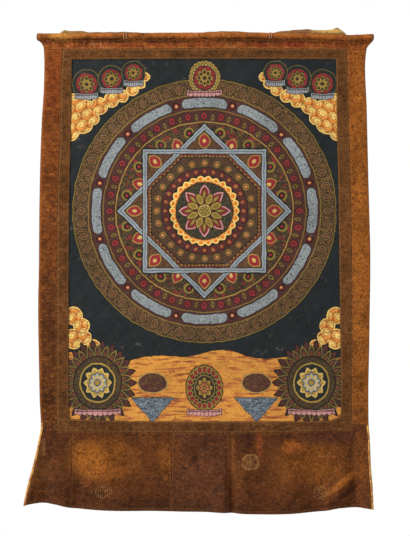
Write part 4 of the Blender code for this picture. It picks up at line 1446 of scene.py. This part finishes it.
def make_all_stitches(pale, brown):
    """Stitch lines: under the sleeve, beside the frames' seams and the door's, and above the hem."""
    x = np.arange(-318, 317, STITCH_PITCH)
    route = np.stack((x, 0 * x - SLEEVE_CLOTH / 2 + 0.2, smooth(ROD_LINE, x) - SLEEVE_RADIUS - 2.2), axis=1)
    make_stitches("sleeve_stitches", route, brown, lift=0.25)
    rows = [
        StitchLine("opening_stitches_left", line(OPENING_LEFT, -2.6), True, -764, -50, brown,
                   "inner_brocade"),
        StitchLine("opening_stitches_right", line(OPENING_RIGHT, 2.6), True, -764, -50, brown,
                   "inner_brocade"),
        StitchLine("frame_stitches_left", line(FRAME_LEFT, -2.4), True, -764, -50, brown, "outer_brocade"),
        StitchLine("frame_stitches_right", line(FRAME_RIGHT, 2.4), True, -764, -50, brown, "outer_brocade"),
        StitchLine("opening_stitches_top", line(OPENING_TOP, 2.6), False, -264, 262, brown, "inner_brocade"),
        StitchLine("opening_stitches_low", line(OPENING_LOW, -2.6), False, -264, 262, brown,
                   "inner_brocade"),
        StitchLine("hem_stitches", line(HEM, 5.4), False, -352, 328, pale, "skirt_brocade"),
        StitchLine("door_stitches_left", level(DOOR_LEFT - 2.4), True, -946, -796, pale, "door_brocade"),
        StitchLine("door_stitches_right", level(DOOR_RIGHT + 2.4), True, -946, -796, pale, "door_brocade"),
        StitchLine("binding_stitches_left", line(LEFT_EDGE, 7.5), True, -926, -782, pale, "golden_binding"),
        StitchLine("binding_stitches_right", line(RIGHT_EDGE, -7.5), True, -936, -782, pale,
                   "golden_binding"),
    ]
    for row in rows:
        at = np.arange(row.start, row.end, STITCH_PITCH)
        x, z = (row.seam(at), at) if row.upright else (at, row.seam(at))
        route = np.stack((x, surface(x, z) - BROCADE / 2, z), axis=1)
        make_stitches(row.name, route, row.finish)


# Stage

VIEW_HEIGHT = 1.072
CAMERA_AWAY = 4.0
SENSOR_HEIGHT = 24.0
FLOOR_LEVEL = -1.25
WORLD_LIGHT = 0.45
KEY_POWER = 95


def make_floor():
    """A pale floor well below the hanging."""
    mesh = bpy.data.meshes.new("floor")
    corners = [(-1.6, -1.0), (1.6, -1.0), (1.6, 0.95), (-1.6, 0.95)]
    mesh.from_pydata([(x, y, FLOOR_LEVEL) for x, y in corners], [], [(0, 1, 2, 3)])
    pale = bpy.data.materials.new("pale_floor")
    pale.use_nodes = True
    shader = pale.node_tree.nodes["Principled BSDF"]
    shader.inputs["Base Color"].default_value = (0.85, 0.85, 0.85, 1)
    shader.inputs["Roughness"].default_value = 0.9
    mesh.materials.append(pale)
    add_object("floor", mesh)


def make_surroundings():
    """Soft light from all round, in front of a white backdrop."""
    world = bpy.data.worlds.new("studio")
    bpy.context.scene.world = world
    world.use_nodes = True
    nodes, links = world.node_tree.nodes, world.node_tree.links
    light = nodes["Background"]
    light.inputs["Color"].default_value = (1, 0.99, 0.97, 1)
    light.inputs["Strength"].default_value = WORLD_LIGHT
    paper = nodes.new("ShaderNodeBackground")
    paper.inputs["Color"].default_value = (1, 1, 1, 1)
    chosen = nodes.new("ShaderNodeMixShader")
    links.new(nodes.new("ShaderNodeLightPath").outputs["Is Camera Ray"], chosen.inputs[0])
    links.new(light.outputs[0], chosen.inputs[1])
    links.new(paper.outputs[0], chosen.inputs[2])
    links.new(chosen.outputs[0], nodes["World Output"].inputs["Surface"])


def make_stage():
    """Floor, surroundings, a soft key light from the upper left, and the camera."""
    make_floor()
    make_surroundings()
    key = bpy.data.lights.new("key", "AREA")
    key.energy = KEY_POWER
    key.size = 0.9
    lamp = add_object("key", key)
    lamp.location = (-2.2, -1.6, 1.1)
    lamp.rotation_euler = (Vector((0.1, 0, -0.5)) - lamp.location).to_track_quat("-Z", "Y").to_euler()
    lens = bpy.data.cameras.new("camera")
    lens.sensor_fit = "VERTICAL"
    lens.sensor_height = SENSOR_HEIGHT
    lens.lens = SENSOR_HEIGHT * CAMERA_AWAY / VIEW_HEIGHT
    camera = add_object("camera", lens)
    camera.location = (-0.001, -CAMERA_AWAY, -0.4642)
    camera.rotation_euler = (math.pi / 2, 0, 0)
    bpy.context.scene.camera = camera
    bpy.context.scene.view_settings.view_transform = "Standard"


def main():
    make_stage()
    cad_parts["top_rod"].data.materials.clear()
    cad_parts["top_rod"].data.materials.append(wood())
    make_frames(inner_brocade(), outer_brocade())
    make_painting(painted_canvas(), canvas_back())
    make_skirt(skirt_cloth("skirt_brocade", srgb(72, 38, 20), srgb(92, 52, 24)),
               skirt_cloth("door_brocade", srgb(78, 44, 28), srgb(84, 48, 30)), golden_cloth())
    make_heading(heading_brocade())
    make_veil(silk())
    make_ties(thread("tie_thread", srgb(200, 148, 110)))
    make_all_stitches(thread("pale_thread", srgb(146, 98, 52)), thread("brown_thread", srgb(118, 72, 38)))


main()
